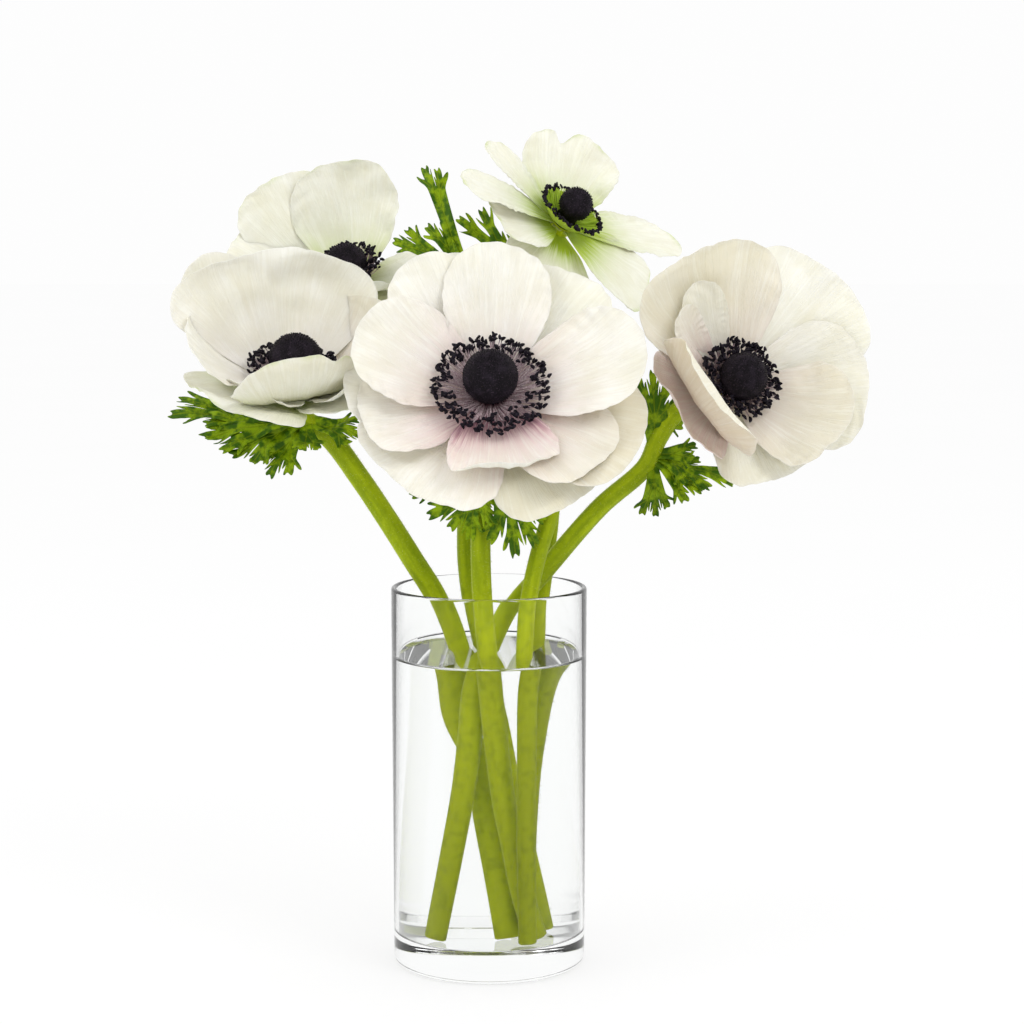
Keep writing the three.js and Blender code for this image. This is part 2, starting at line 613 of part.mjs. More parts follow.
const flowers = new THREE.Group();
flowers.add(mesh('vase', vaseBody(), clearGlass));
const holes = Object.keys(STEMS).map(stemHole);
flowers.add(mesh('water', waterBody(holes), clearWater));
for (const name of Object.keys(STEMS)) flowers.add(mesh(`stem_${name}`, stemBody(name), leafGreen));
for (const name of Object.keys(BLOOMS)) {
  flowers.add(mesh(`petals_${name}`, petalsBody(BLOOMS[name]), cream));
  flowers.add(mesh(`centre_${name}`, centreBody(BLOOMS[name]), nearBlack));
}

export default flowers;
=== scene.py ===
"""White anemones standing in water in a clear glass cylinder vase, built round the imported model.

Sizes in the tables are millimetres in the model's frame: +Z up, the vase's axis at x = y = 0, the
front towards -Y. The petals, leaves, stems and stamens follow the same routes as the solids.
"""

import math
from types import SimpleNamespace as Row

import bpy
import numpy as np
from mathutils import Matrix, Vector
from mathutils.geometry import delaunay_2d_cdt


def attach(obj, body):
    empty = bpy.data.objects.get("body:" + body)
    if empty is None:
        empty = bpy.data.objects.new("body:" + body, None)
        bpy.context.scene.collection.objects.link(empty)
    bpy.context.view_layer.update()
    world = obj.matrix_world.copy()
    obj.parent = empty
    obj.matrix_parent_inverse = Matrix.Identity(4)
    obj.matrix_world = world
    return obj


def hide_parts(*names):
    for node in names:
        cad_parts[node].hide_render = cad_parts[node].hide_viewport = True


MM = 0.001

# Camera
IMAGE_SIDE = 1024
FOCAL_PIXELS = 2570
SENSOR = 36.0
CAMERA_AT = (0.009, -0.996, 0.2895)
CAMERA_PITCH = 6.35

# Vase and water
VASE_HEIGHT = 149.5
RIM_RADIUS = 38.3
FOOT_RADIUS = 37.7
WALL = 2.1
FLOOR = 13.0
FOOT_ROUND = 3.0
FLOOR_ROUND = 0.9
WATER_LEVEL = 121.5
WATER_GAP = 0.05
WATER_CREEP = 3.2
WATER_CLIMB = 1.5
TURNED_SIDES = 160

# What grew
PETAL_CLAW = 0.16
PETAL_ROWS = 56
PETAL_COLUMNS = 30
PETAL_THICKNESS = 0.55
TIP_SHARE = 0.8
TIP_POWER = 2.6
RUFFLE_WIDTH = 44
LINE_STEPS = 1200
RECEPTACLE_TOP = 1.0
RECEPTACLE_DEPTH = 4.3
STEM_ROWS = 150
STEM_SIDES = 28
# Lengths along a stem, from its cut end, between which its lower part is painted lighter
STEM_PAINTED_LIGHT_FULL_BELOW = 110.0
STEM_PAINTED_LIGHT_NONE_ABOVE = 150.0
HAIRS = 2600
LEAF_THICKNESS = 0.5
LEAF_ARCH = -16
LEAF_STEP = 1.1
GOLDEN_ANGLE = math.pi * (3 - math.sqrt(5))

# Stage, in metres: each light's name, place, width and power
FLOOR_REACH = 12.0
FLOOR_DROP = 0.00005
FLOOR_GLOW = 0.765
WORLD_GLOW = 0.985
LIGHTS_AIM = Vector((0, 0, 0.2))
LIGHTS = [("key", (0.9, -0.9, 1.3), 0.7, 7.0), ("fill", (-1.2, -0.6, 0.9), 0.9, 4.5)]


# Small helpers


def vec(*xyz):
    return np.array(xyz, float)


def unit(v):
    return v / np.linalg.norm(v, axis=-1, keepdims=True)


def smooth(a, b, x):
    x = np.clip((x - a) / (b - a), 0, 1)
    return x * x * (3 - 2 * x)


def bell(x, width):
    return np.exp(-((x / width) ** 2))


def rgb(r, g, b):
    """A shader colour from the 0 to 255 values seen on a screen."""
    return tuple(((c / 255 + 0.055) / 1.055) ** 2.4 for c in (r, g, b)) + (1.0,)


def waves(rng, count, lowest, highest):
    """A smooth random function of (x, y), the mean of a few plane waves."""
    rate = rng.uniform(lowest, highest, (count, 2)) * rng.choice([-1, 1], (count, 2))
    phase = rng.uniform(0, 2 * math.pi, count)

    def value(x, y):
        total = sum(np.sin(rx * x + ry * y + p) for (rx, ry), p in zip(rate, phase))
        return total / math.sqrt(count)

    return value


def link(made):
    bpy.context.scene.collection.objects.link(made)


class Piece:
    """Collects the parts of one mesh: corners, faces, two attributes and a material for each part."""

    def __init__(self):
        self.verts, self.spot, self.tone = [], [], []
        self.faces, self.slots = [], []
        self.count = 0

    def add(self, verts, faces, spot=(0, 0, 0), tone=(0, 0, 0), slot=0):
        """Spot and tone are three values each, and a value is a number or one for each corner."""
        verts = np.asarray(verts, float).reshape(-1, 3)
        self.verts.append(verts)
        for kept, values in ((self.spot, spot), (self.tone, tone)):
            kept.append(np.stack(np.broadcast_arrays(*values, verts[:, 0])[:3], -1))
        self.faces += [tuple(i + self.count for i in face) for face in faces]
        self.slots += [slot] * len(faces)
        self.count += len(verts)

    def make(self, name, materials, slot, *nodes):
        mesh = bpy.data.meshes.new(name)
        verts = np.concatenate(self.verts) * MM
        mesh.from_pydata(verts.tolist(), [], self.faces)
        for label, values in (("spot", self.spot), ("tone", self.tone)):
            layer = mesh.attributes.new(label, "FLOAT_VECTOR", "POINT")
            layer.data.foreach_set("vector", np.concatenate(values).astype(np.float32).ravel())
        mesh.polygons.foreach_set("material_index", self.slots)
        mesh.polygons.foreach_set("use_smooth", [True] * len(self.faces))
        for material in materials:
            mesh.materials.append(material)
        made = bpy.data.objects.new(name, mesh)
        link(made)
        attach(made, "root")
        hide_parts(*nodes)


def grid_faces(rows, columns, closed=False):
    """Quads of a grid of rows by columns corners; closed joins the last column to the first."""
    faces = []
    for i in range(rows - 1):
        for j in range(columns if closed else columns - 1):
            k = (j + 1) % columns
            faces.append((i * columns + j, i * columns + k, (i + 1) * columns + k, (i + 1) * columns + j))
    return faces


def sheet_faces(rows, columns):
    """A closed thin body from an upper grid followed by a lower one."""
    lower = rows * columns
    top = grid_faces(rows, columns)
    faces = [face[::-1] for face in top] + [tuple(i + lower for i in face) for face in top]
    rim = list(range(columns))
    rim += [i * columns + columns - 1 for i in range(1, rows)]
    rim += [(rows - 1) * columns + j for j in range(columns - 2, -1, -1)]
    rim += [i * columns for i in range(rows - 2, 0, -1)]
    for a, b in zip(rim, rim[1:] + rim[:1]):
        faces.append((a, b, lower + b, lower + a))
    return faces


def turned(profile, sides, frame=None, at=(0, 0, 0)):
    """A body turned about an axis from [radius, height] pairs that start and end on the axis."""
    u, v, w = frame if frame else (vec(1, 0, 0), vec(0, 1, 0), vec(0, 0, 1))
    inner = np.array(profile[1:-1], float)
    angle = np.arange(sides) * 2 * math.pi / sides
    out = np.cos(angle)[:, None] * u + np.sin(angle)[:, None] * v
    verts = inner[:, 0, None, None] * out + inner[:, 1, None, None] * w
    ends = [profile[0][1] * w, profile[-1][1] * w]
    verts = np.concatenate([verts.reshape(-1, 3), ends]) + vec(*at)
    faces = grid_faces(len(inner), sides, closed=True)
    first, last = len(verts) - 2, len(verts) - 1
    start = (len(inner) - 1) * sides
    for j in range(sides):
        k = (j + 1) % sides
        faces.append((first, k, j))
        faces.append((last, start + j, start + k))
    return verts, faces


def corner(x, y, radius, start, end, steps):
    """Points on an arc round (x, y), between two angles in degrees."""
    angles = [math.radians(start + (end - start) * i / steps) for i in range(steps + 1)]
    return [(x + radius * math.cos(a), y + radius * math.sin(a)) for a in angles]


def tube(path, radii, sides, ripple=None):
    """A round tube with capped ends along a path, and its corners' outward directions."""
    path = np.asarray(path, float)
    along = unit(np.gradient(path, axis=0))
    side = unit(np.cross(along[0], (0, 1, 0.3)))
    sides_of = []
    for tangent in along:
        side = unit(side - tangent * (side @ tangent))
        sides_of.append(side)
    across = np.array(sides_of)
    other = np.cross(along, across)
    angle = np.arange(sides) * 2 * math.pi / sides
    out = np.cos(angle)[None, :, None] * across[:, None] + np.sin(angle)[None, :, None] * other[:, None]
    reach = np.broadcast_to(np.asarray(radii, float).reshape(-1, 1), (len(path), sides))
    if ripple is not None:
        reach = reach * ripple(np.arange(len(path))[:, None], angle[None])
    verts = (path[:, None] + out * reach[..., None]).reshape(-1, 3)
    faces = grid_faces(len(path), sides, closed=True)
    faces.append(tuple(range(sides - 1, -1, -1)))
    faces.append(tuple((len(path) - 1) * sides + j for j in range(sides)))
    return verts, faces, out.reshape(-1, 3)


# The blooms: where the petals meet, which way each faces, and its centre. A bloom's heart says how
# mauve its petals are round the centre, partly their own mauve and partly painted shade under the
# stamen ring, and dish gives short threads over a green dish.


def petal(az, length, width, rise, end, cup, **more):
    """A petal: direction round the bloom, length, width, slopes at root and tip, and how far its sides
    curl up. More: layer and root, height and distance of its root; roll, turn about its middle line;
    bend, how late the slope turns; lip, extra slope of the tip; wideAt, where it is widest; skew, how
    much wider one half is; notch and notchAt, depth and place of a cut in the tip; pink, green and
    beige, how strong those tints are, and on the back with _back, where beige is partly the petal's
    own beige and partly painted shade on petals that face away from the light or lie under others;
    blush, more pink on both sides."""
    usual = dict(
        layer=0, root=3, roll=0, bend=1.2, lip=0, wideAt=0.64, skew=0, notch=0, notchAt=0, pink=0, green=0,
        beige=0, pink_back=0, green_back=0, beige_back=0, blush=0,
    )
    return Row(**usual | dict(az=az, length=length, width=width, rise=rise, end=end, cup=cup) | more)


BLOOMS, PETALS = {}, {}

BLOOMS["a"] = Row(
    at=(1, -34, 226), turn=0, lift=40, dome=10.3, domeUp=12.5, ring=21.5, ringUp=8, collar=6, stamens=320,
    spread=0.22, seed=11, heart=0.9,
)
PETALS["a"] = dict(
    top=petal(87, 60, 42, 6, 30, 18, pink=0.1),
    topRightBack=petal(56, 60, 50, 4, 18, 8, layer=-2),
    right=petal(11, 60, 44, 6, 40, 20, roll=4, pink=0.15),
    # The beige on these two lower right petals is mostly painted shade
    rightLow=petal(336, 58, 50, 2, 6, 8, layer=-2, pink=0.3, beige=0.7),
    lowRight=petal(312, 51, 58, -2, -2, 5, layer=-3.8, wideAt=0.7, beige=0.5),
    lowInner=petal(322, 50, 42, 4, 8, 12, layer=-0.8, pink=0.6, beige=0.3),
    lowLeft=petal(229, 47, 62, 0, -4, 8, layer=-2, wideAt=0.7, pink=0.35),
    lowBack=petal(279, 39, 42, 7, 6, 8, layer=0.6, lip=80, pink=0.9),
    leftLow=petal(186, 47, 42, 4, 8, 12, layer=-1, skew=0.2, pink=0.5),
    left=petal(157, 54, 46, 6, 38, 18, pink=0.25),
    leftBack=petal(168, 53, 46, 0, 14, 8, layer=-2.6, pink=0.2),
    topLeft=petal(117, 62, 38, 5, 26, 14, layer=-1, pink=0.15),
    topBack=petal(102, 63, 40, 2, 18, 8, layer=-3),
)

BLOOMS["b"] = Row(
    at=(94, -6, 228), turn=17, lift=22, dome=9.2, domeUp=12, ring=15.5, ringUp=9, collar=6, stamens=280,
    spread=0.34, seed=12, heart=0.5,
)
PETALS["b"] = dict(
    top=petal(108, 54, 64, 8, 50, 24, beige=0.55, pink=0.15),
    smallUpper=petal(116, 38, 21, 20, 46, 16, layer=0.4, root=7, beige=0.3),
    smallLeft=petal(137, 36, 16, 20, 60, 16, layer=0.4, root=7, beige=0.3, pink=0.5),
    topRight=petal(42, 60, 58, 4, 26, 12, layer=-2),
    right=petal(354, 50, 54, 6, 34, 16, layer=-1, beige=0.25),
    lowRight=petal(325, 46, 48, 8, 56, 24, beige=0.55, pink=0.2),
    low=petal(289, 39, 46, 4, 22, 12, layer=-2, beige=0.3),
    lowLeft=petal(
        211, 57, 54, -8, 130, 14, bend=0.78, wideAt=0.6, lip=-100, layer=-0.4, beige=0.5, pink_back=0.5,
        beige_back=0.9,
    ),
    left=petal(204, 37, 48, 2, 60, 16, bend=1, layer=-2, blush=0.6, pink_back=0.3),
)

BLOOMS["c"] = Row(
    at=(28.4, 27, 290), turn=50, lift=47, dome=6.6, domeUp=11, ring=13.3, ringUp=8.2, collar=4.5,
    stamens=120, spread=0.1, seed=13, heart=0, dish=True,
)
PETALS["c"] = dict(
    top=petal(54, 41, 40, 14, 52, 14, notch=6, notchAt=6, roll=-15, green=0.8),
    upperLeft=petal(113, 41, 18, 10, 12, 18, wideAt=0.74, green=0.8),
    left=petal(150, 45, 20, 6, -4, 12, layer=0.6, wideAt=0.76, green=0.8),
    lowLeft=petal(168, 30, 34, 0, -6, 10, layer=-0.8, green=0.9),
    low=petal(223, 31, 38, -14, -36, 10, layer=-2, green=1.1),
    lowRight=petal(301, 43, 44, -5, -10, 14, green=1.1),
    right=petal(353, 70, 24, -2, -2, 16, wideAt=0.55, green=0.9),
)

BLOOMS["d"] = Row(
    at=(-57.5, 66, 266), turn=-15, lift=55, dome=8.6, domeUp=10, ring=14.5, ringUp=9, collar=6, stamens=170,
    spread=0.3, seed=14, heart=0.2,
)
PETALS["d"] = dict(
    top=petal(95, 55, 46, 6, 88, 16, bend=1.1, wideAt=0.6, skew=0.2, green=0.5),
    leftBack=petal(140, 59, 46, 8, 66, 14, layer=-1.5, roll=-8, green=0.5),
    farLeft=petal(170, 50, 44, 6, 38, 14, layer=0.6, green=0.3),
    rightUpper=petal(11, 36, 30, 4, 20, 14, green=0.5),
    rightLower=petal(355, 34, 30, 2, 8, 12, layer=-2, green=0.6),
    front=petal(285, 28, 36, 6, 80, 10, green=0.4),
    frontLeft=petal(230, 32, 38, 4, 56, 10, layer=-2, green=0.4),
)

BLOOMS["e"] = Row(
    at=(-75.6, 0, 228.6), turn=15, lift=66, dome=10.4, domeUp=10.5, ring=18, ringUp=8, collar=6,
    stamens=200, spread=0.3, seed=15, heart=0.3,
)
PETALS["e"] = dict(
    backMiddle=petal(99, 58, 85, 8, 88, 30, bend=0.9, layer=-0.6, wideAt=0.6, pink=0.08),
    backLeft=petal(170, 47, 42, 6, 56, 16, pink=0.15),
    # The beige on this petal is partly painted shade, where bloom a shades it
    backRight=petal(30, 50, 50, 8, 72, 18, layer=-3, beige=0.4, pink=0.4),
    farLeft=petal(115, 69, 46, 6, 58, 12, layer=-3, pink=0.1),
    frontLeft=petal(225, 30, 36, 4, 40, 12, layer=-0.5, green=0.3),
    # The green on this petal's back is partly its own green and partly painted shade at its folded base
    front=petal(
        273, 46, 52, -2, 98, 14, bend=1.1, skew=-0.2, roll=8, notch=4, notchAt=7, green_back=0.7,
        beige_back=0.25,
    ),
    frontRight=petal(322, 36, 40, 4, 66, 14, layer=-1, beige=0.4),
    # The green at these two petals' roots is partly their own green and partly painted shade in the fold
    # between petals
    lowLeft=petal(217, 39, 56, 9, 16, 8, layer=-3.3, green=0.9),
    lowRight=petal(312, 32, 42, 11, 24, 8, layer=-3, green=0.9),
)

# Leaf blades: where the lobes fork off as a share of the length, half the foot's width, and the
# lobes as (angle, share of the length, width); angles are from the leaf's own middle line.

FAN = (0.3, 2, [(-44, 0.9, 4), (0, 1, 4.2), (44, 0.9, 4)])
TWO = (0.4, 2.4, [(-16, 0.95, 4.4), (16, 1, 4.4)])
TONGUE = (0.5, 2, [(0, 1, 3.6)])
HANGING_LOBES = [(-40, 1.16, 4.4), (-11, 1.03, 4.2), (19, 1.06, 4.4), (57, 0.92, 4), (95, 0.71, 3.8)]
HANGING_FAN = (0.35, 2.6, HANGING_LOBES)
TURNED_LOBES = [(-76, 1.16, 4.4), (-47, 1.3, 4.4), (-24, 1.24, 4.4), (2, 1.05, 4.4), (40, 0.91, 4.6)]
TURNED_FAN = (0.48, 2.4, TURNED_LOBES)
RISING_LOBES = [(-97, 0.76, 4.6), (-44, 0.78, 4.8), (-15, 0.9, 3.6), (4, 1, 3.6), (23, 0.97, 3.6)]
RISING_FAN = (0.42, 3, [*RISING_LOBES, (54, 0.88, 3.8)])
LONG_SIDED = (0.24, 2.4, [(-40, 0.56, 4.2), (-14, 0.78, 4.2), (4, 1, 4.4), (30, 0.56, 3.8)])
NARROW_FAN = (0.45, 2.2, [(-20, 1, 3.8), (3, 0.98, 3.6), (27, 0.92, 3.8)])
LONG_FAN = (0.42, 3, [(-11, 0.96, 4.4), (4, 1, 4.4), (24, 0.76, 4.6)])
BROAD_FAN = (0.36, 3, [(-20, 0.92, 4.6), (2, 1, 4.6), (26, 0.9, 4.6)])
STRAP = (0.55, 2.6, [(-9, 0.94, 4), (4, 1, 4)])
SHORT_STRAP = (0.4, 2.2, [(-14, 0.94, 3.6), (12, 1, 3.6)])
HALF_STRAP = (0.5, 2.2, [(-14, 0.94, 3.6), (12, 1, 3.6)])

# Sides that a leaf blade turns up to
FRONT, UP = (0, -1, 0.1), (0, 0, 1)
TILTED, SLANTED = (0, -0.9, 0.4), (0, -0.8, 0.6)

# Stems: radius, route from the cut end upwards (a bloom's own last two points follow from it), the
# place of the leaf whorl, and its leaves as (reach, side that it turns up to, blade)

STEMS = {}
STEMS["a"] = Row(
    radius=3.8, whorl=(-1.9, -11.7, 194),
    route=[
        (15.6, -13.5, 14), (11, -16.2, 33), (7.6, -15, 52), (5, -12, 66), (2, -9.5, 93), (-0.4, -8, 121),
        (-2.3, -8, 141), (-3.2, -8, 165), (-2.6, -10, 188), (-0.5, -15, 204),
    ],
    leaves=[
        ((-27, -8, -6), TILTED, TONGUE), ((-9.6, -10, -19.8), FRONT, HANGING_FAN),
        ((21, -9, -15.5), FRONT, TURNED_FAN), ((25, -1, -4), TILTED, TWO), ((4, 30, -6), UP, FAN),
    ],
)
STEMS["b"] = Row(
    radius=3.8, whorl=(65, 18.3, 199),
    route=[
        (-18.6, -17.5, 14), (-12.7, -15, 45), (-8, -10, 72), (-5.7, -5, 92), (-4, 0, 110), (-0.5, 4, 121),
        (8.6, 7, 139), (22, 11, 154.4), (43.9, 17, 178.8), (62, 18, 195), (67, 19, 206), (75, 18, 217),
    ],
    leaves=[
        ((1, -3, 33), (0, -1, -0.1), RISING_FAN), ((16, -7, 3), SLANTED, TWO),
        ((31, -10, -9), SLANTED, LONG_SIDED), ((16, -10, -15), (0, -1, 0.3), TWO),
        ((0, -11, -22), (0, -1, 0), NARROW_FAN),
    ],
)
STEMS["c"] = Row(
    radius=3.3, whorl=(20, 37, 262),
    route=[
        (14, -25.8, 14), (13.6, -24.6, 34), (13, -22, 52), (12.8, -18, 77), (12.6, -10.5, 110),
        (13.7, -8, 121), (15.2, -5, 142.8), (18.7, -2, 160), (25.9, 6, 185.5), (27.5, 21, 213),
        (22, 36, 244), (19, 37, 268),
    ],
    leaves=[
        ((-29, -2, 34), FRONT, HALF_STRAP), ((-16, 3, 28), FRONT, SHORT_STRAP), ((8, 24, 12), UP, FAN),
    ],
)
STEMS["d"] = Row(
    radius=3.3, whorl=(-28, 48, 227),
    route=[
        (16, -0.6, 14), (9.5, 4, 48), (5, 9, 72), (1.6, 13, 95), (-2.4, 14, 118), (-6.9, 17, 137.5),
        (-9.5, 22, 157), (-10, 27, 180), (-14, 35, 204), (-30, 50, 229), (-46, 65, 246),
    ],
    leaves=[
        ((-22, 20, -4), UP, FAN), ((20, 18, 8), UP, TWO), ((-8, -20, -16), UP, FAN),
    ],
)
STEMS["e"] = Row(
    radius=4.2, whorl=(-72, 6, 213.5),
    route=[
        (6.2, -13.5, 14), (2.6, -8.5, 38), (-0.4, -4, 58), (-3, 1.5, 80), (-8.7, 7, 97), (-11, 9.5, 117),
        (-20.5, 8, 143), (-30, 7, 159), (-39.8, 8, 174.6), (-50.7, 9, 191), (-63, 9, 207.5),
    ],
    leaves=[
        ((-51, -8, 9), (0.1, -0.75, 0.65), LONG_FAN), ((-38, -14, -1), (0.1, -0.75, 0.65), BROAD_FAN),
        ((-27, -16, -9), SLANTED, BROAD_FAN), ((-13, -15, -18), TILTED, BROAD_FAN),
        ((3, -14, -9), (0, -0.9, 0.5), TWO), ((22, -10, -3), SLANTED, BROAD_FAN),
    ],
)
STEMS["f"] = Row(
    radius=3.0, whorl=(-9.5, 26, 270),
    route=[
        (8, 22, 14), (8.5, 20.5, 50), (10.8, 17.5, 84), (15, 15.5, 111), (19.3, 16, 121),
        (20.5, 18.5, 137.6), (22.9, 21.5, 157.4), (24.9, 26, 181), (20, 30, 205), (8, 30, 235),
        (-6, 26, 262), (-10, 26, 272),
    ],
    leaves=[
        ((-15, 0, 44), FRONT, STRAP), ((-12.5, -2, 21.5), FRONT, SHORT_STRAP),
        ((-27, 0, 17), FRONT, HALF_STRAP),
    ],
)


# Materials


class Shader:
    """A new material with one Principled shader, and short calls for the nodes that feed it."""

    def __init__(self, name, **constants):
        self.material = bpy.data.materials.new(name)
        self.material.use_nodes = True
        self.nodes = self.material.node_tree.nodes
        self.main = self.nodes["Principled BSDF"]
        self.put(self.main, {label.replace("_", " "): value for label, value in constants.items()})

    def put(self, node, inputs):
        """Sets a node's inputs, or links them to another node's output."""
        for label, value in inputs.items():
            if isinstance(value, bpy.types.NodeSocket):
                self.material.node_tree.links.new(value, node.inputs[label])
            elif value is not None:
                node.inputs[label].default_value = value

    def node(self, kind, inputs, **settings):
        """The outputs of a new node with these settings and inputs."""
        node = self.nodes.new("ShaderNode" + kind)
        for label, value in settings.items():
            setattr(node, label, value)
        self.put(node, inputs)
        return node.outputs

    def attribute(self, name):
        """The three values that each corner of the mesh carries under this name."""
        values = self.node("Attribute", {}, attribute_name=name)["Vector"]
        return tuple(self.node("SeparateXYZ", {0: values}))

    def math(self, operation, a, b=None, clamp=False):
        return self.node("Math", {0: a, 1: b}, operation=operation, use_clamp=clamp)[0]

    def times(self, a, b):
        return self.math("MULTIPLY", a, b)

    def relief(self, *parts):
        """The sum of some (value, weight) pairs."""
        total = None
        for value, weight in parts:
            term = self.times(value, weight)
            total = term if total is None else self.math("ADD", total, term)
        return total

    def vector(self, x, y, z):
        return self.node("CombineXYZ", {0: x, 1: y, 2: z})[0]

    def noise(self, scale, detail=3.0, rough=0.5, twist=0.0, vector=None):
        """Noise over the point's own place in the model, in metres, or over the vector given."""
        if vector is None:
            vector = self.node("TexCoord", {})["Object"]
        inputs = {"Vector": vector, "Scale": scale, "Detail": detail, "Roughness": rough, "Distortion": twist}
        return self.node("TexNoise", inputs)["Fac"]

    def ramp(self, value, low, high):
        """0 at low and 1 at high, smoothly."""
        inputs = {"Value": value, "From Min": low, "From Max": high}
        return self.node("MapRange", inputs, interpolation_type="SMOOTHSTEP")["Result"]

    def mix(self, share, a, b):
        return self.node("Mix", {"Factor": share, "A": a, "B": b}, data_type="RGBA")["Result"]

    def over(self, base, share, amount, colour):
        """Lays a colour over the base, by a share times an amount."""
        return self.mix(self.times(share, amount), base, colour)

    def finish(self, colour, height=None, depth=0.0003, strength=0.4):
        """The material with this colour, and with bumps where a height is given."""
        self.put(self.main, {"Base Color": colour})
        if height is not None:
            bump = self.node("Bump", {"Distance": depth, "Strength": strength, "Height": height})
            self.put(self.main, {"Normal": bump["Normal"]})
        return self.material


def petal_material():
    s = Shader(
        "petal", Roughness=0.6, Specular_IOR_Level=0.2, Sheen_Weight=0.05,
        Subsurface_Weight=0.3, Subsurface_Scale=0.002, Subsurface_Radius=(1.0, 0.95, 0.8),
    )
    along, across, seed = s.attribute("spot")
    pink, green, beige = s.attribute("tone")
    fine_way = s.vector(s.times(along, 2.2), s.times(across, 34.0), seed)
    fine = s.noise(1.0, 4.0, 0.6, 0.7, fine_way)
    off_line = s.math("ABSOLUTE", s.math("SUBTRACT", fine, 0.5))
    vein = s.math("SUBTRACT", 1.0, s.times(off_line, 9.0), True)
    broad_way = s.vector(s.times(along, 1.6), s.times(across, 6.0), seed)
    broad = s.noise(1.0, 3.0, 0.5, 0.8, broad_way)
    cloud = s.noise(70.0, 4.0, 0.55)
    grain = s.noise(1100.0)
    crepe = s.noise(330.0, 4.0, 0.6)
    base = s.mix(s.ramp(cloud, 0.3, 0.75), rgb(240, 239, 229), rgb(232, 230, 214))
    base = s.over(base, s.ramp(broad, 0.45, 0.8), 0.4, rgb(220, 215, 193))
    base = s.over(base, vein, 0.12, rgb(198, 188, 160))
    patchy = s.math("ADD", s.times(s.ramp(fine, 0.35, 0.65), 0.35), 0.65)
    tint = s.times(pink, patchy)
    base = s.over(base, tint, 0.9, rgb(222, 180, 182))
    # Partly painted shade: where the pink is strongest, round the centre, it turns to a deep mauve that is
    # both the petals' own mauve and painted shade under the stamen ring
    base = s.mix(s.ramp(tint, 0.6, 1.6), base, rgb(142, 98, 116))
    # Partly painted shade: the beige tone darkens petals that face away from the light or lie under others,
    # besides giving their own beige
    base = s.over(base, s.times(beige, patchy), 0.8, rgb(206, 194, 160))
    base = s.over(base, s.times(green, patchy), 1.1, rgb(164, 188, 40))
    return s.finish(base, s.relief((vein, -0.5), (broad, 2.0), (crepe, 0.7), (grain, 0.15)), 0.0003, 0.55)


def stem_material():
    s = Shader(
        "stem", Roughness=0.55, Specular_IOR_Level=0.12,
        Sheen_Weight=0.6, Sheen_Roughness=0.35, Sheen_Tint=rgb(226, 234, 150),
    )
    along, angle, seed = s.attribute("spot")
    streak = s.noise(1.0, vector=s.vector(s.times(along, 0.03), s.times(angle, 4.0), seed))
    mottle = s.noise(320.0, 4.0, 0.6)
    speck = s.noise(1300.0, 2.0)
    base = s.mix(s.ramp(streak, 0.35, 0.7), rgb(136, 156, 4), rgb(166, 184, 12))
    # Painted light: the lower part, inside the vase, is made paler and brighter to make up for the light that
    # the glass and water keep from it
    base = s.over(base, s.ramp(along, STEM_PAINTED_LIGHT_NONE_ABOVE, STEM_PAINTED_LIGHT_FULL_BELOW), 0.75, rgb(214, 226, 24))
    base = s.over(base, s.ramp(mottle, 0.45, 0.7), 0.35, rgb(112, 136, 2))
    base = s.over(base, s.ramp(speck, 0.55, 0.75), 0.4, rgb(186, 200, 60))
    return s.finish(base, s.relief((streak, 1.5), (speck, 0.5)))


def leaf_material():
    s = Shader("leaf", Roughness=0.5, Specular_IOR_Level=0.15)
    along, vein, seed = s.attribute("spot")
    blotch_and_highlight = s.noise(240.0, 4.0, 0.55)
    fine = s.noise(1400.0)
    # Blotches: partly the leaf's own patchy green, partly painted shade and painted highlights standing in
    # for the light on its folds
    base = s.mix(s.ramp(blotch_and_highlight, 0.4, 0.62), rgb(60, 98, 0), rgb(152, 182, 12))
    base = s.over(base, seed, 0.35, rgb(42, 74, 0))
    base = s.over(base, s.ramp(fine, 0.5, 0.8), 0.35, rgb(40, 82, 0))
    base = s.over(base, vein, 0.45, rgb(140, 160, 14))
    base = s.mix(s.ramp(along, 0.3, 0.0), base, rgb(110, 140, 6))
    return s.finish(base, s.relief((vein, -1.0), (blotch_and_highlight, 1.4)), 0.0004, 0.6)


def hair_material():
    s = Shader("hair", Roughness=0.6, Specular_IOR_Level=0.1)
    tint = s.noise(300.0, 2.0)
    return s.finish(s.mix(s.ramp(tint, 0.35, 0.65), rgb(186, 200, 96), rgb(214, 222, 150)))


def dome_material():
    s = Shader("dome", Roughness=0.6, Specular_IOR_Level=0.1)
    patch = s.noise(300.0)
    fine = s.noise(2000.0)
    base = s.mix(s.ramp(patch, 0.4, 0.7), rgb(16, 12, 17), rgb(32, 26, 34))
    base = s.over(base, s.ramp(fine, 0.55, 0.75), 0.6, rgb(80, 66, 80))
    return s.finish(base, s.math("ADD", fine, patch), 0.0003, 0.8)


def anther_material():
    s = Shader("anther", Roughness=0.55, Specular_IOR_Level=0.12)
    fine = s.noise(1800.0)
    base = s.mix(s.ramp(fine, 0.4, 0.75), rgb(12, 8, 14), rgb(40, 32, 46))
    return s.finish(base, fine, 0.0002, 0.7)


def filament_material():
    s = Shader("filament", Roughness=0.5, Specular_IOR_Level=0.2)
    along, pale, _ = s.attribute("spot")
    fine = s.noise(1500.0, 2.0)
    mauve = s.mix(s.ramp(fine, 0.35, 0.7), rgb(170, 142, 150), rgb(214, 200, 200))
    base = s.mix(s.ramp(along, 0.35, 0.0), mauve, rgb(110, 52, 66))
    base = s.mix(s.ramp(along, 0.8, 1.0), base, rgb(58, 44, 56))
    base = s.mix(pale, base, rgb(160, 190, 50))
    return s.finish(base, fine, 0.0001)


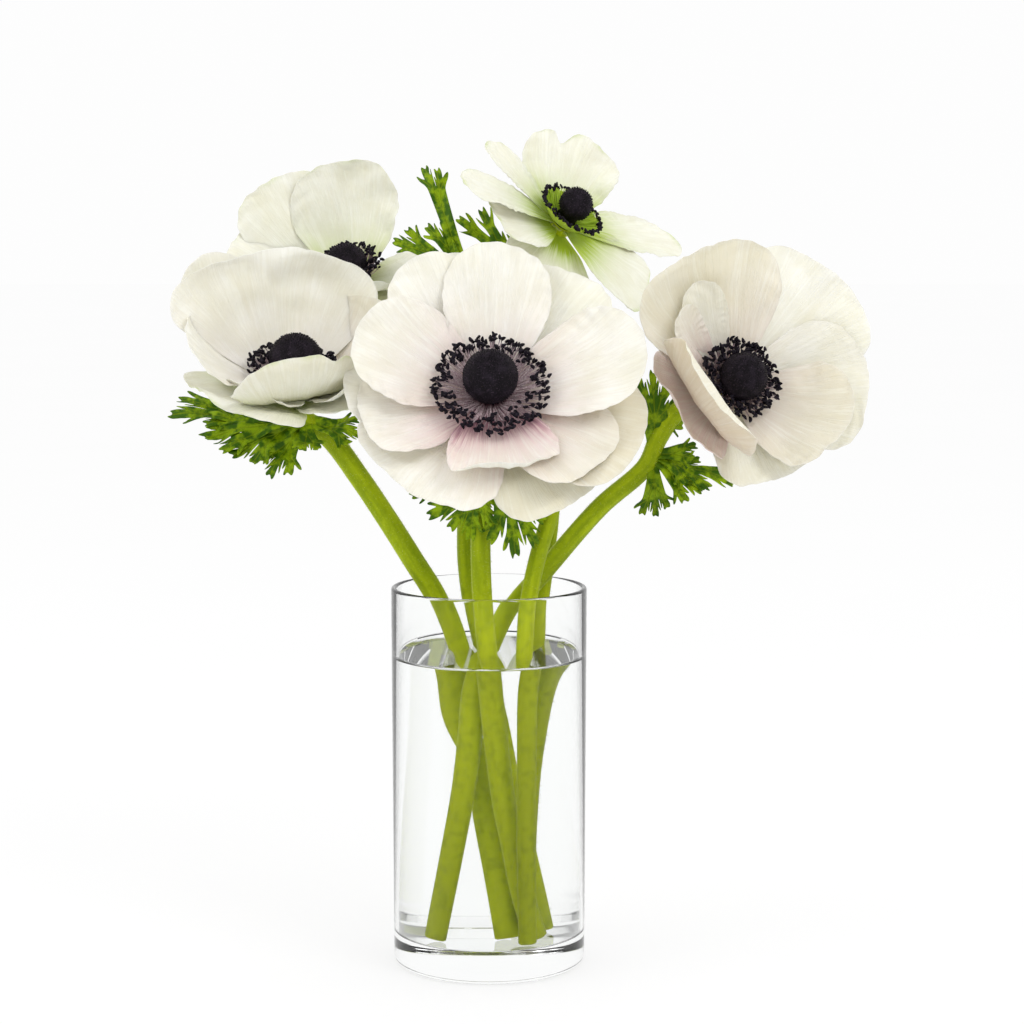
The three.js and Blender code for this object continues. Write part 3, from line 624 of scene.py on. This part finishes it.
def clear_material(name, ior, scale, darker, lighter):
    """Glass or water. The low specular tint keeps the white room from veiling the stems inside."""
    s = Shader(
        name, Roughness=0.0, IOR=ior, Transmission_Weight=1.0,
        Specular_IOR_Level=0.1, Specular_Tint=(0.15, 0.15, 0.15, 1.0),
    )
    return s.finish(s.mix(s.noise(scale, 2.0), (*darker, 1.0), (*lighter, 1.0)))


def floor_material():
    s = Shader(
        "floor", Roughness=0.9, Specular_IOR_Level=0.0,
        Emission_Color=(1.0, 1.0, 1.0, 1.0), Emission_Strength=FLOOR_GLOW,
    )
    return s.finish(s.mix(s.noise(3.0, 2.0), (0.21, 0.21, 0.21, 1.0), (0.22, 0.22, 0.22, 1.0)))


# Petals


def bloom_frame(bloom):
    """Three directions: to the bloom's right, up its face, and straight out of it."""
    a, e = math.radians(bloom.turn), math.radians(bloom.lift)
    w = vec(math.sin(a) * math.cos(e), -math.cos(a) * math.cos(e), math.sin(e))
    v = unit(vec(0, 0, 1) - w * w[2])
    return np.cross(v, w), v, w


def half_width(s, wide_at):
    rising = PETAL_CLAW + (1 - PETAL_CLAW) * np.sin(s / wide_at * math.pi / 2)
    falling = np.sqrt(np.clip(1 - np.clip((s - wide_at) / (1 - wide_at), 0, 1) ** TIP_POWER, 0, 1))
    return np.where(s < wide_at, rising, falling)


def petal_plan(p, rng):
    """The flat petal, rows by columns: for each corner the share of the length and of the half width,
    its place, its depth inside the margin, its distance and direction from the middle, and a weight
    that is 1 at the margin."""
    length, wide = p.length, p.wideAt
    # The sides and the last row both lie on the outline, so the tip is round
    rows = 1 - (1 - np.linspace(0, 1, PETAL_ROWS)) ** 1.3
    columns = np.sin(np.linspace(-1, 1, PETAL_COLUMNS) * 1.3) / math.sin(1.3)
    F, T = np.meshgrid(rows, columns, indexing="ij")
    reach = wide + (1 - wide) * (1 - (TIP_SHARE * T) ** 2) ** (1 / TIP_POWER)
    half = p.width / 2 * half_width(F * reach[0, 0], wide)
    S = F * reach
    ahead, across = S * length, half * T * (1 + p.skew * T)
    inward = np.minimum((1 - np.abs(T)) * half, (1 - F) * length * 0.9)
    from_middle = ahead - 0.55 * length
    radius = np.hypot(from_middle, across) + 1e-6
    round_way = np.arctan2(across, from_middle)
    margin = bell(inward, 6) * smooth(0.2, 0.5, S)
    outline = 0.55 * (p.width / RUFFLE_WIDTH) * waves(rng, 4, 2.0, 6.0)(round_way, 0)
    outline = outline + 0.2 * waves(rng, 5, 11.0, 30.0)(round_way, 0)
    ahead = ahead + from_middle / radius * outline * margin
    across = across * (1 + outline * margin / radius)
    ahead = ahead - p.notch * bell(across - p.notchAt, 3) * S**6
    return S, T, ahead, across, inward, radius, round_way, margin


def petal_line(bloom, p, share):
    """The petal's middle line where a share of its length is run: place, sideways and up."""
    u, v, w = bloom_frame(bloom)
    fine = np.arange(0, 1.1, 1 / LINE_STEPS)
    slope = p.rise + (p.end - p.rise) * fine ** p.bend + p.lip * smooth(0.72, 1, fine)
    slope = np.radians(slope)
    out, lift = (
        np.concatenate([[0], np.cumsum((way[1:] + way[:-1]) / 2)]) / LINE_STEPS
        for way in (np.cos(slope), np.sin(slope))
    )
    az, roll = math.radians(p.az), math.radians(p.roll)
    heading = u * math.cos(az) + v * math.sin(az)
    side = -u * math.sin(az) + v * math.cos(az)
    reach, rise = p.length * np.interp(share, fine, out), p.length * np.interp(share, fine, lift)
    middle = vec(*bloom.at) + (p.root + reach)[..., None] * heading
    middle = middle + (p.layer + rise)[..., None] * w
    angle = np.interp(share, fine, slope)[..., None]
    face = np.cross(np.cos(angle) * heading + np.sin(angle) * w, side)
    sideways = side * math.cos(roll) + face * math.sin(roll)
    return middle, sideways, face * math.cos(roll) - side * math.sin(roll)


def petal_tones(bloom, p, S, inward, round_way):
    """How pink, green and beige the upper skin is, and the lower one; the beige is partly painted shade."""
    tones = []
    for ending in ("", "_back"):
        if ending:
            pink = p.pink_back * (0.4 + 0.6 * smooth(0.1, 0.5, S)) * (1 - 0.6 * smooth(0.7, 1, S))
        else:
            pink = p.pink * bell(S, 0.75)
            # The heart's pink round the centre is partly the petals' own mauve and partly painted shade under
            # the stamens
            pink = pink + bloom.heart * (0.35 + p.pink) * bell(S, 0.42)
        stripes = 0.5 + 0.5 * np.sin(9 * round_way + bloom.seed)
        rim = bell(inward, 1.3) * smooth(0.7, 1, S) * stripes
        green = getattr(p, "green" + ending) * (1.5 * bell(S, 0.36) + 0.05 + 0.6 * rim)
        # Beige: partly the petal's own beige, partly painted shade where petals face away from the light or
        # lie under others
        beige = getattr(p, "beige" + ending) * (0.45 + 0.55 * S)
        tones.append(np.stack([pink + p.blush, green, beige], -1))
    return tones


def petal_sheet(bloom, p, rng):
    """The upper and lower skin of one petal, with its two attributes."""
    S, T, ahead, across, inward, radius, round_way, margin = petal_plan(p, rng)
    length, width, size = p.length, p.width, p.width / RUFFLE_WIDTH
    middle, b, n = petal_line(bloom, p, np.clip(ahead / length, 0, 1.09))
    curl = np.radians(p.cup) * (0.35 + 0.65 * np.sin(math.pi * np.clip(S, 0, 1) ** 0.8))
    bow = np.maximum(curl, 1e-3) * np.where(np.abs(T) < 1e-4, 1e-4, T)
    over, raised = across * np.sin(bow) / bow, across * (1 - np.cos(bow)) / bow

    # Soft ruffles at the margin, folds that fan out from the root, and a shallow channel
    near = bell(inward, 0.26 * width) * smooth(0.15, 0.55, S) * smooth(4, 14, radius)
    fan_way = np.arctan2(across, ahead + 0.22 * length)
    bumps = 0.85 * size * waves(rng, 4, 2.5, 6.0)(round_way, radius / 20) * near
    bumps = bumps + 0.22 * waves(rng, 5, 9.0, 20.0)(round_way, radius / 16) * margin
    bumps = bumps + 0.13 * waves(rng, 6, 14.0, 46.0)(fan_way, S * 0.1) * smooth(0.04, 0.4, S)
    bumps = bumps + 0.45 * size * waves(rng, 3, 1.5, 4.0)(S, across / (width / 2)) * smooth(0.3, 0.8, S)
    channel = 0.2 * bell(across, 2.2) * smooth(0.0, 0.2, S) * (1 - smooth(0.4, 0.8, S))
    bumps = bumps - channel
    normal = n * np.cos(bow)[..., None] - b * np.sin(bow)[..., None]
    top = middle + b * over[..., None] + n * raised[..., None] + normal * bumps[..., None]
    thin = PETAL_THICKNESS * (1 - 0.75 * bell(inward, 1.6))
    lower = top - normal * thin[..., None]
    spot = np.stack([S, fan_way, np.full_like(S, rng.uniform(0, 50))], -1)
    return (top, lower), (spot, spot), petal_tones(bloom, p, S, inward, round_way)


def add_receptacle(piece, bloom):
    """The green disc that a bloom's petals grow from, as wide as its collar asks."""
    depth, top = RECEPTACLE_DEPTH, RECEPTACLE_TOP
    profile = [(0, -depth), *corner(4.4, -depth + 0.9, 0.9, -90, -40, 4), *corner(6.4, -1.8, 1.2, -40, 0, 4)]
    profile += [(7.6, top - 0.4), *corner(7.0, top - 0.6, 0.6, 0, 90, 4), (0, top)]
    slim = bloom.collar / 7.2
    profile = [(radius * slim, height) for radius, height in profile]
    verts, faces = turned(profile, 40, bloom_frame(bloom), bloom.at)
    # The receptacle's length value lies half way through the stems' painted light band, so it gets half of
    # that painted lightening
    piece.add(verts, faces, ((STEM_PAINTED_LIGHT_FULL_BELOW + STEM_PAINTED_LIGHT_NONE_ABOVE) / 2, 0, bloom.seed), slot=1)


def build_petals(name, bloom, materials):
    piece = Piece()
    add_receptacle(piece, bloom)
    faces = sheet_faces(PETAL_ROWS, PETAL_COLUMNS)
    for number, shape in enumerate(PETALS[name].values()):
        rng = np.random.default_rng(100 * bloom.seed + number)
        skins, spots, tones = (np.reshape(x, (-1, 3)) for x in petal_sheet(bloom, shape, rng))
        piece.add(skins, faces, spots.T, tones.T)
    piece.make(f"bloom_petals_{name}", materials, "petal", f"petals_{name}")


# Centres


def ball(at, axes, rings, sides):
    """An egg from three half-axes given as vectors; the first is its long way."""
    long, b, c = axes
    polar = np.linspace(0, math.pi, rings + 2)[1:-1]
    ring = [np.cos(a) * b + np.sin(a) * c for a in np.arange(sides) * 2 * math.pi / sides]
    verts = [at + long * math.cos(q) + out * math.sin(q) for q in polar for out in ring]
    verts += [at + long, at - long]
    faces = [face[::-1] for face in grid_faces(rings, sides, closed=True)]
    first, last = rings * sides, rings * sides + 1
    for j in range(sides):
        k = (j + 1) % sides
        faces.append((first, j, k))
        faces.append((last, (rings - 1) * sides + k, (rings - 1) * sides + j))
    return np.array(verts), faces


def add_styles(piece, bloom, frame):
    """Short blunt styles, close together all over the dome."""
    u, v, w = frame
    dome = bloom.dome
    centre = vec(*bloom.at) + w * bloom.domeUp
    rng = np.random.default_rng(40 + bloom.seed)
    faces = [(k, (k + 1) % 4, 4 + (k + 1) % 4, 4 + k) for k in range(4)] + [(4, 5, 6, 7)]
    count = int(8.5 * dome * dome)
    for i in range(count):
        height = 1 - (i + 0.5) / count * 1.55
        ring = math.sqrt(max(0.0, 1 - height * height))
        a = i * GOLDEN_ANGLE
        out = unit(u * math.cos(a) * ring + v * math.sin(a) * ring + w * height)
        foot = centre + out * (dome * 0.96)
        lean = unit(out + rng.normal(0, 0.3, 3))
        b = unit(np.cross(lean, (0.3, 0.5, 0.8)))
        c = np.cross(lean, b)
        length, thick = rng.uniform(0.4, 0.85), rng.uniform(0.2, 0.34)
        spokes = [b * math.cos(q) + c * math.sin(q) for q in (0, 1.57, 3.14, 4.71)]
        base = [foot + way * thick for way in spokes]
        top = [foot + lean * length + way * thick * 0.45 for way in spokes]
        piece.add(np.array(base + top), faces)


def build_dome(name, bloom, material):
    piece = Piece()
    frame = bloom_frame(bloom)
    dome, up, collar = bloom.dome, bloom.domeUp, bloom.collar
    profile = [(0, RECEPTACLE_TOP - 0.1), (collar, RECEPTACLE_TOP - 0.1), (collar * 0.92, up - dome * 0.75)]
    for q in range(-42, 88, 4):
        profile.append((dome * math.cos(math.radians(q)), up + dome * 0.96 * math.sin(math.radians(q))))
    profile.append((0, up + dome * 0.96))
    piece.add(*turned(profile, 72, frame, bloom.at))
    add_styles(piece, bloom, frame)
    piece.make(f"bloom_dome_{name}", [material], "bloom_centre", f"centre_{name}")


def add_anther(piece, end, way, aside, length, thick):
    """A bean with a groove, at the end of a thread."""
    b = unit(np.cross(way, aside))
    c = np.cross(way, b)
    verts, faces = ball(end + way * 0.4, (way * length, b * thick, c * thick * 0.85), 6, 9)
    off = (verts - end) @ way
    verts = verts + np.outer((off / length) ** 2, b) * 0.35
    groove = bell((verts - end) @ b, 0.25) * (((verts - end) @ c) > 0)
    verts = verts - np.outer(groove, c) * 0.22
    piece.add(verts, faces, slot=1)


def add_dish(piece, bloom, frame):
    """A green dish that fills the ring under short threads."""
    ring, up, collar = bloom.ring, bloom.ringUp, bloom.collar
    profile = [(0, 1.4), (collar, 1.6), (ring * 0.62, 3.2), (ring * 0.93, up - 1.1), (ring * 0.95, up - 0.8)]
    profile += [(ring * 0.91, up - 0.7), (ring * 0.6, 3.9), (collar, 2.5), (0, 2.3)]
    verts, faces = turned(profile, 48, frame, bloom.at)
    out_way = (verts - vec(*bloom.at)) @ np.stack(frame[:2], 1)
    piece.add(verts, faces, (0.3, np.arctan2(*out_way.T), 3.0), (0, 1.2, 0), slot=2)


def build_stamens(name, bloom, materials):
    piece = Piece()
    u, v, w = bloom_frame(bloom)
    at, collar = vec(*bloom.at), bloom.collar
    rng = np.random.default_rng(70 + bloom.seed)
    beads = getattr(bloom, "dish", False)
    for i in range(bloom.stamens):
        a = i * GOLDEN_ANGLE + rng.normal(0, 0.05)
        out = u * math.cos(a) + v * math.sin(a)
        side = np.cross(w, out)
        # Most anthers crowd the outer band, and the rest fill the room inside it
        share = 1 - bloom.spread * rng.uniform(0, 1) ** 1.5 + rng.normal(0, 0.015)
        if not beads and i % 5 == 0:
            share = 1 - bloom.spread * rng.uniform(0.8, 1.5)
        reach = bloom.ring * share
        height = bloom.ringUp + rng.uniform(-2.0, 1.6) + (1 - share) * 6
        if beads:
            height = bloom.ringUp + rng.uniform(-0.6, 0.8)
        start = at + out * (collar - 0.6) + w * rng.uniform(1.6, 3.4)
        bend = at + out * (collar + reach * 0.3) + w * (height * 0.55)
        end = at + out * reach + w * height + side * rng.normal(0, 0.7)
        q = np.linspace(0, 1, 8)[:, None]
        path = start * (1 - q) ** 2 + 2 * bend * q * (1 - q) + end * q * q
        path = path + side * np.sin(q * math.pi) * rng.normal(0, 0.45)
        verts, faces, _ = tube(path, np.linspace(0.3, 0.18, 8), 5)
        piece.add(verts, faces, (np.repeat(q[:, 0], 5), float(beads), i), slot=0)
        way = unit(out * rng.uniform(0.1, 1) + side * rng.normal(0, 0.9) + w * rng.normal(0.3, 0.6))
        length, thick = rng.uniform(1.0, 1.45), rng.uniform(0.58, 0.8)
        if beads:
            length, thick = rng.uniform(0.8, 1.05), rng.uniform(0.58, 0.75)
        add_anther(piece, end, way, w + side * 0.2, length, thick)
    if beads:
        add_dish(piece, bloom, (u, v, w))
    piece.make(f"bloom_stamens_{name}", materials, "bloom_centre", f"centre_{name}")


# Stems and leaves


def stem_curve(points, count):
    """Evenly spaced points on a centripetal Catmull-Rom curve through the given ones."""
    p = np.array(points, float)
    p = np.concatenate([[2 * p[0] - p[1]], p, [2 * p[-1] - p[-2]]])
    dense = []
    for i in range(1, len(p) - 2):
        d = [np.linalg.norm(p[i + k] - p[i + k - 1]) ** 0.5 for k in (0, 1, 2)]
        x0, x1, x2, x3 = p[i - 1 : i + 3]
        t1 = ((x1 - x0) / d[0] - (x2 - x0) / (d[0] + d[1]) + (x2 - x1) / d[1]) * d[1]
        t2 = ((x2 - x1) / d[1] - (x3 - x1) / (d[1] + d[2]) + (x3 - x2) / d[2]) * d[1]
        q = np.linspace(0, 1, 60, endpoint=i == len(p) - 3)[:, None]
        dense.append(
            x1 + t1 * q + (-3 * x1 + 3 * x2 - 2 * t1 - t2) * q**2 + (2 * x1 - 2 * x2 + t1 + t2) * q**3
        )
    dense = np.concatenate(dense)
    run = np.concatenate([[0], np.cumsum(np.linalg.norm(np.diff(dense, axis=0), axis=1))])
    even = np.linspace(0, run[-1], count)
    return np.stack([np.interp(even, run, dense[:, k]) for k in range(3)], -1), run[-1]


# A lobe's two edges and its tip: share of its reach, share of its width from its middle line, and how
# near it may come to the line half way to the next lobe
LOBE_RIGHT = [(0.5, -0.52, 0.92), (0.64, -0.62, 0.92), (0.8, -0.98, 0.92), (0.9, -1.13, 0.92)]
LOBE_RIGHT += [(0.93, -0.98, 0.85), (0.84, -0.68, 0.62), (0.75, -0.44, 0.5), (0.86, -0.47, 0.5)]
LOBE_TIP = [(1.0, -0.42, 0.5), (1.03, -0.26, 0.5), (0.96, -0.06, 0.5), (1.02, 0.16, 0.5), (1.03, 0.3, 0.5)]
LOBE_LEFT = [(0.95, 0.44, 0.5), (0.84, 0.47, 0.5), (0.71, 0.44, 0.5), (0.78, 0.7, 0.62), (0.86, 1.0, 0.85)]
LOBE_LEFT += [(0.84, 1.14, 0.92), (0.74, 0.98, 0.92), (0.6, 0.62, 0.92), (0.48, 0.52, 0.92)]


def rounded(points):
    """An open line with its corners cut off, which keeps its two ends."""
    p = np.array(points, float)
    for _ in range(2):
        near = p[:-1] * 0.75 + p[1:] * 0.25
        far = p[:-1] * 0.25 + p[1:] * 0.75
        p = np.concatenate([p[:1], np.stack([near, far], 1).reshape(-1, 2), p[-1:]])
    return p


def leaf_plan(length, blade, rng):
    """The flat leaf: its outline, and the middle lines of its lobes."""
    fork_share, foot, lobes = blade
    fork = length * fork_share

    def polar(angle, reach, side):
        c, s = math.cos(math.radians(angle)), math.sin(math.radians(angle))
        return (fork + c * reach - s * side, s * reach + c * side)

    def half_way(i, j):
        return math.radians(abs(lobes[i][0] - lobes[j][0])) / 2

    def between(i, j):
        shorter = length * min(lobes[i][1], lobes[j][1]) - fork
        return min(0.45 * max(lobes[i][2], lobes[j][2]) / math.sin(half_way(i, j)), 0.6 * shorter)

    outline = [(0, -foot), (fork * 0.5, -foot * 0.9)]
    lines = [[(0, 0), (fork, 0)]]
    for i, (angle, share, width) in enumerate(lobes):
        reach = length * share - fork
        if i > 0:
            outline.append(polar((angle + lobes[i - 1][0]) / 2, between(i - 1, i), 0))
        for points, other in ((LOBE_RIGHT, i - 1), (LOBE_TIP, None), (LOBE_LEFT, i + 1)):
            free = other is None or not 0 <= other < len(lobes)
            for along, side, near in points:
                ahead = reach * along * (1 + rng.normal(0, 0.025))
                off = abs(width * side)
                if not free:
                    if ahead < between(i, other) * math.cos(half_way(i, other)) + 0.4:
                        continue
                    off = min(off, near * ahead * math.tan(half_way(i, other)))
                outline.append(polar(angle, ahead, math.copysign(off, side)))
        lines.append([(fork, 0), polar(angle, reach * 0.97, 0)])
        for along, side, other in ((0.84, -0.8, i - 1), (0.8, 0.8, i + 1)):
            off = abs(width * side)
            if 0 <= other < len(lobes):
                off = min(off, 0.7 * reach * along * math.tan(half_way(i, other)))
            tip = polar(angle, reach * along, math.copysign(off, side))
            lines.append([polar(angle, reach * (along - 0.3), 0), tip])
    outline += [(fork * 0.5, foot * 0.9), (0, foot)]
    return rounded(outline), lines


def distance_to(points, lines):
    """Each point's distance to the nearest of some straight lines."""
    best = np.full(len(points), 1e9)
    for a, b in lines:
        a, b = vec(*a), vec(*b)
        q = np.clip((points - a) @ (b - a) / ((b - a) @ (b - a)), 0, 1)
        best = np.minimum(best, np.linalg.norm(points - a - q[:, None] * (b - a), axis=1))
    return best


def inside(points, outline):
    """Which points lie within a closed outline."""
    crossings = np.zeros(len(points), int)
    for (x1, y1), (x2, y2) in zip(outline, np.roll(outline, -1, axis=0)):
        over = (y1 > points[:, 1]) != (y2 > points[:, 1])
        reach = (points[:, 1] - y1) / (y2 - y1 if y2 != y1 else 1) * (x2 - x1) + x1
        crossings += over & (points[:, 0] < reach)
    return crossings % 2 == 1


def leaf_mesh(length, blade, rng):
    """The flat leaf as corners and triangles, and each corner's distance from the nearest rib."""
    outline, lines = leaf_plan(length, blade, rng)
    low, high = outline.min(0), outline.max(0)
    grid = np.meshgrid(*(np.arange(low[k], high[k], LEAF_STEP) for k in (0, 1)))
    inner = np.stack(grid, -1).reshape(-1, 2)
    inner = inner + rng.uniform(-0.2, 0.2, inner.shape)
    inner = inner[distance_to(inner, lines) > 0.75]
    rib = []
    for a, b in lines:
        a, b = vec(*a), vec(*b)
        steps = max(3, int(np.linalg.norm(b - a) / 0.8))
        beside = np.array([-(b - a)[1], (b - a)[0]]) / np.linalg.norm(b - a)
        for q in np.linspace(0, 1, steps):
            rib += [a + (b - a) * q + beside * off for off in (-0.42, 0, 0.42)]
    inner = np.concatenate([inner, rib])
    inner = inner[inside(inner, outline) & (distance_to(inner, list(zip(outline[:-1], outline[1:]))) > 0.15)]
    points = [Vector(p) for p in np.concatenate([outline, inner])]
    flat, _, faces, *_ = delaunay_2d_cdt(points, [], [list(range(len(outline)))], 0, 1e-4, False)
    flat = np.array([tuple(p) for p in flat])
    middles = np.array([flat[face].mean(0) for face in faces])
    faces = [face for face, keep in zip(faces, inside(middles, outline)) if keep]
    return flat, faces, distance_to(flat, lines)


def add_leaf(piece, base, leaf, rng, slot):
    reach, facing, blade = leaf
    length = float(np.linalg.norm(reach))
    along = unit(vec(*reach))
    normal = unit(vec(*facing) - along * (along @ vec(*facing)))
    across = np.cross(normal, along)
    flat, faces, near = leaf_mesh(length, blade, rng)
    vein = bell(near, 0.22)
    turn = math.radians(LEAF_ARCH) * flat[:, 0] / length
    turn = np.where(np.abs(turn) < 1e-6, 1e-6, turn)
    ahead = np.sin(turn) * flat[:, 0] / turn
    rise = (1 - np.cos(turn)) * flat[:, 0] / turn
    wave = waves(rng, 3, 0.15, 0.45)
    lift = 0.42 * np.minimum(near, 2.2) + 0.9 * wave(flat[:, 0], flat[:, 1]) * smooth(2, 10, flat[:, 0])
    lift = lift - 0.175 * vein
    edges = [edge for face in faces for edge in zip(face, face[1:] + face[:1])]
    known = set(edges)
    rim = [(a, b) for a, b in edges if (b, a) not in known]
    on_rim = np.zeros(len(flat), bool)
    on_rim[[a for a, _ in rim]] = True
    half = np.where(on_rim, 0.3, 1.0) * LEAF_THICKNESS / 2 * (1 + 0.9 * vein)
    skins = []
    for sign in (1, -1):
        off = lift + sign * half
        skins.append(
            vec(*base)
            + along * (ahead - off * np.sin(turn))[:, None]
            + normal * (rise + off * np.cos(turn))[:, None]
            + across * flat[:, 1, None]
        )
    count = len(flat)
    body = [tuple(face) for face in faces] + [tuple(i + count for i in face[::-1]) for face in faces]
    body += [(b, a, count + a, count + b) for a, b in rim]
    spot = (np.tile(flat[:, 0] / length, 2), np.tile(vein, 2), rng.uniform(0, 1))
    piece.add(np.concatenate(skins), body, spot, slot=slot)


def add_hairs(piece, verts, out, rng):
    """Short pale hairs on a stem, each a thin spike with three sides."""
    for k in rng.choice(np.arange(STEM_SIDES * 4, len(verts)), HAIRS):
        way = out[k]
        along = unit(np.cross(way, (0.3, 0.2, 0.9)))
        foot = verts[k] + along * rng.uniform(-1, 1) * 0.5
        foot = foot + np.cross(way, along) * rng.uniform(-1, 1) * 0.8 - way * 0.15
        lean = unit(way + rng.normal(0, 0.35, 3))
        length = rng.uniform(0.5, 1.15)
        b = unit(np.cross(lean, along)) * 0.05
        c = unit(np.cross(lean, b)) * 0.05
        spike = np.array([foot + b, foot - b + c, foot - b - c, foot + lean * length])
        piece.add(spike, [(0, 1, 3), (1, 2, 3), (2, 0, 3)], slot=2)


def build_stem(name, stem, materials):
    piece = Piece()
    rng = np.random.default_rng(200 + ord(name))
    route = list(stem.route)
    if name in BLOOMS:
        bloom = BLOOMS[name]
        w = bloom_frame(bloom)[2]
        for depth in (RECEPTACLE_DEPTH + 7, RECEPTACLE_DEPTH + 0.1):
            route.append(tuple(vec(*bloom.at) - w * depth))
    path, run = stem_curve(route, STEM_ROWS)
    share = np.linspace(0, 1, len(path))
    radii = stem.radius * (1.03 - 0.06 * share)
    # The cut end is a little rounded
    radii[0] *= 0.82
    path[1] = path[0] + (path[1] - path[0]) * 0.3
    bow = waves(rng, 3, 0.02, 0.06)
    ridges, phase = int(rng.integers(7, 10)), rng.uniform(0, 6)

    def ripple(i, angle):
        groove = 0.018 * np.sin(ridges * angle + phase + i * 0.01) + 0.012 * np.sin(3 * angle + i * 0.05)
        return 1 + groove + 0.015 * bow(i * 2.0, i * 0.0)

    verts, faces, out = tube(path, radii, STEM_SIDES, ripple)
    sides = np.tile(np.abs(np.linspace(-1, 1, STEM_SIDES)), len(path))
    piece.add(verts, faces, (np.repeat(share * run, STEM_SIDES), sides, ord(name)), slot=0)
    for number, leaf in enumerate(stem.leaves):
        add_leaf(piece, stem.whorl, leaf, np.random.default_rng(ord(name) * 10 + number), 1)
    add_hairs(piece, verts, out, rng)
    piece.make(f"leafy_stem_{name}", materials, "stem_leaf", f"stem_{name}")


# Vase and water


def build_vase(material):
    inside_radius, lip = RIM_RADIUS - WALL, WALL / 2
    profile = [
        (0, 0),
        *corner(FOOT_RADIUS - FOOT_ROUND, FOOT_ROUND, FOOT_ROUND, -90, 0, 12),
        *corner(RIM_RADIUS - lip, VASE_HEIGHT - lip, lip, 0, 180, 16),
        *corner(inside_radius - FLOOR_ROUND, FLOOR + FLOOR_ROUND, FLOOR_ROUND, 0, -90, 12),
        (0, FLOOR),
    ]
    piece = Piece()
    piece.add(*turned(profile, TURNED_SIDES))
    piece.make("glass_cylinder", [material], "vase_glass", "vase")


def build_water(material):
    radius, low = RIM_RADIUS - WALL - WATER_GAP, FLOOR - WATER_GAP
    profile = [(0, low), *corner(radius - FLOOR_ROUND, low + FLOOR_ROUND, FLOOR_ROUND, -90, 0, 12)]
    # The creeping edge runs on into the glass, so that the water line is as wide as the vase
    crest, edge = WATER_LEVEL + WATER_CLIMB, RIM_RADIUS - 0.3
    profile += [(radius, crest - 2.0), (radius, crest - 0.62), (radius, crest - 0.6)]
    profile += [(edge - 0.02, crest - 0.6), (edge, crest - 0.58), (edge, crest - 0.02), (edge - 0.02, crest)]
    for i in range(13):
        q = i / 12
        profile.append((radius - WATER_CREEP * q, WATER_LEVEL + WATER_CLIMB * (1 - q) ** 3))
    profile.append((0, WATER_LEVEL))
    piece = Piece()
    piece.add(*turned(profile, TURNED_SIDES))
    piece.make("still_water", [material], "vase_water", "water")


# Stage


def make_stage():
    mesh = bpy.data.meshes.new("floor")
    far = FLOOR_REACH
    mesh.from_pydata([(-far, -far, 0), (far, -far, 0), (far, far, 0), (-far, far, 0)], [], [(0, 1, 2, 3)])
    mesh.materials.append(floor_material())
    floor = bpy.data.objects.new("floor", mesh)
    floor.location.z = -FLOOR_DROP
    link(floor)

    world = bpy.data.worlds.new("studio")
    bpy.context.scene.world = world
    world.use_nodes = True
    sky = world.node_tree.nodes["Background"]
    sky.inputs["Color"].default_value = (1.0, 1.0, 1.0, 1.0)
    sky.inputs["Strength"].default_value = WORLD_GLOW

    for name, at, size, power in LIGHTS:
        light = bpy.data.lights.new(name, "AREA")
        light.size = size
        light.energy = power
        lamp = bpy.data.objects.new(name, light)
        lamp.location = at
        lamp.rotation_euler = (LIGHTS_AIM - Vector(at)).to_track_quat("-Z", "Y").to_euler()
        link(lamp)


def make_camera():
    camera = bpy.data.objects.new("camera", bpy.data.cameras.new("camera"))
    camera.data.lens = FOCAL_PIXELS / IMAGE_SIDE * SENSOR
    camera.data.sensor_width = SENSOR
    camera.location = CAMERA_AT
    camera.rotation_euler = (math.radians(90 - CAMERA_PITCH), 0, 0)
    link(camera)
    bpy.context.scene.camera = camera


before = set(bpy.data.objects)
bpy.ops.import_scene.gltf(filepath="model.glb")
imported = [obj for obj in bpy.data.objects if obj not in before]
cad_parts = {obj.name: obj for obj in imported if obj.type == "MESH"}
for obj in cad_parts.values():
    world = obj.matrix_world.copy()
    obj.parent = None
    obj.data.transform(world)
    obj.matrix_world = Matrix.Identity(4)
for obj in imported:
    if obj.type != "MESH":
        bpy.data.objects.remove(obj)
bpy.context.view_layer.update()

make_camera()
make_stage()
bpy.context.scene.view_settings.view_transform = "Standard"

petal_skin, stem_skin, leaf_skin, hair = petal_material(), stem_material(), leaf_material(), hair_material()
dome_skin, anther, filament = dome_material(), anther_material(), filament_material()
build_vase(clear_material("clear_glass", 1.5, 14.0, (0.98, 0.988, 0.984), (0.988, 0.992, 0.99)))
build_water(clear_material("clear_water", 1.333, 18.0, (0.994, 0.998, 0.996), (1.0, 1.0, 1.0)))
for key, one in BLOOMS.items():
    build_petals(key, one, [petal_skin, stem_skin])
    build_dome(key, one, dome_skin)
    build_stamens(key, one, [filament, anther, petal_skin])
for key, one in STEMS.items():
    build_stem(key, one, [stem_skin, leaf_skin, hair])

bpy.context.view_layer.update()
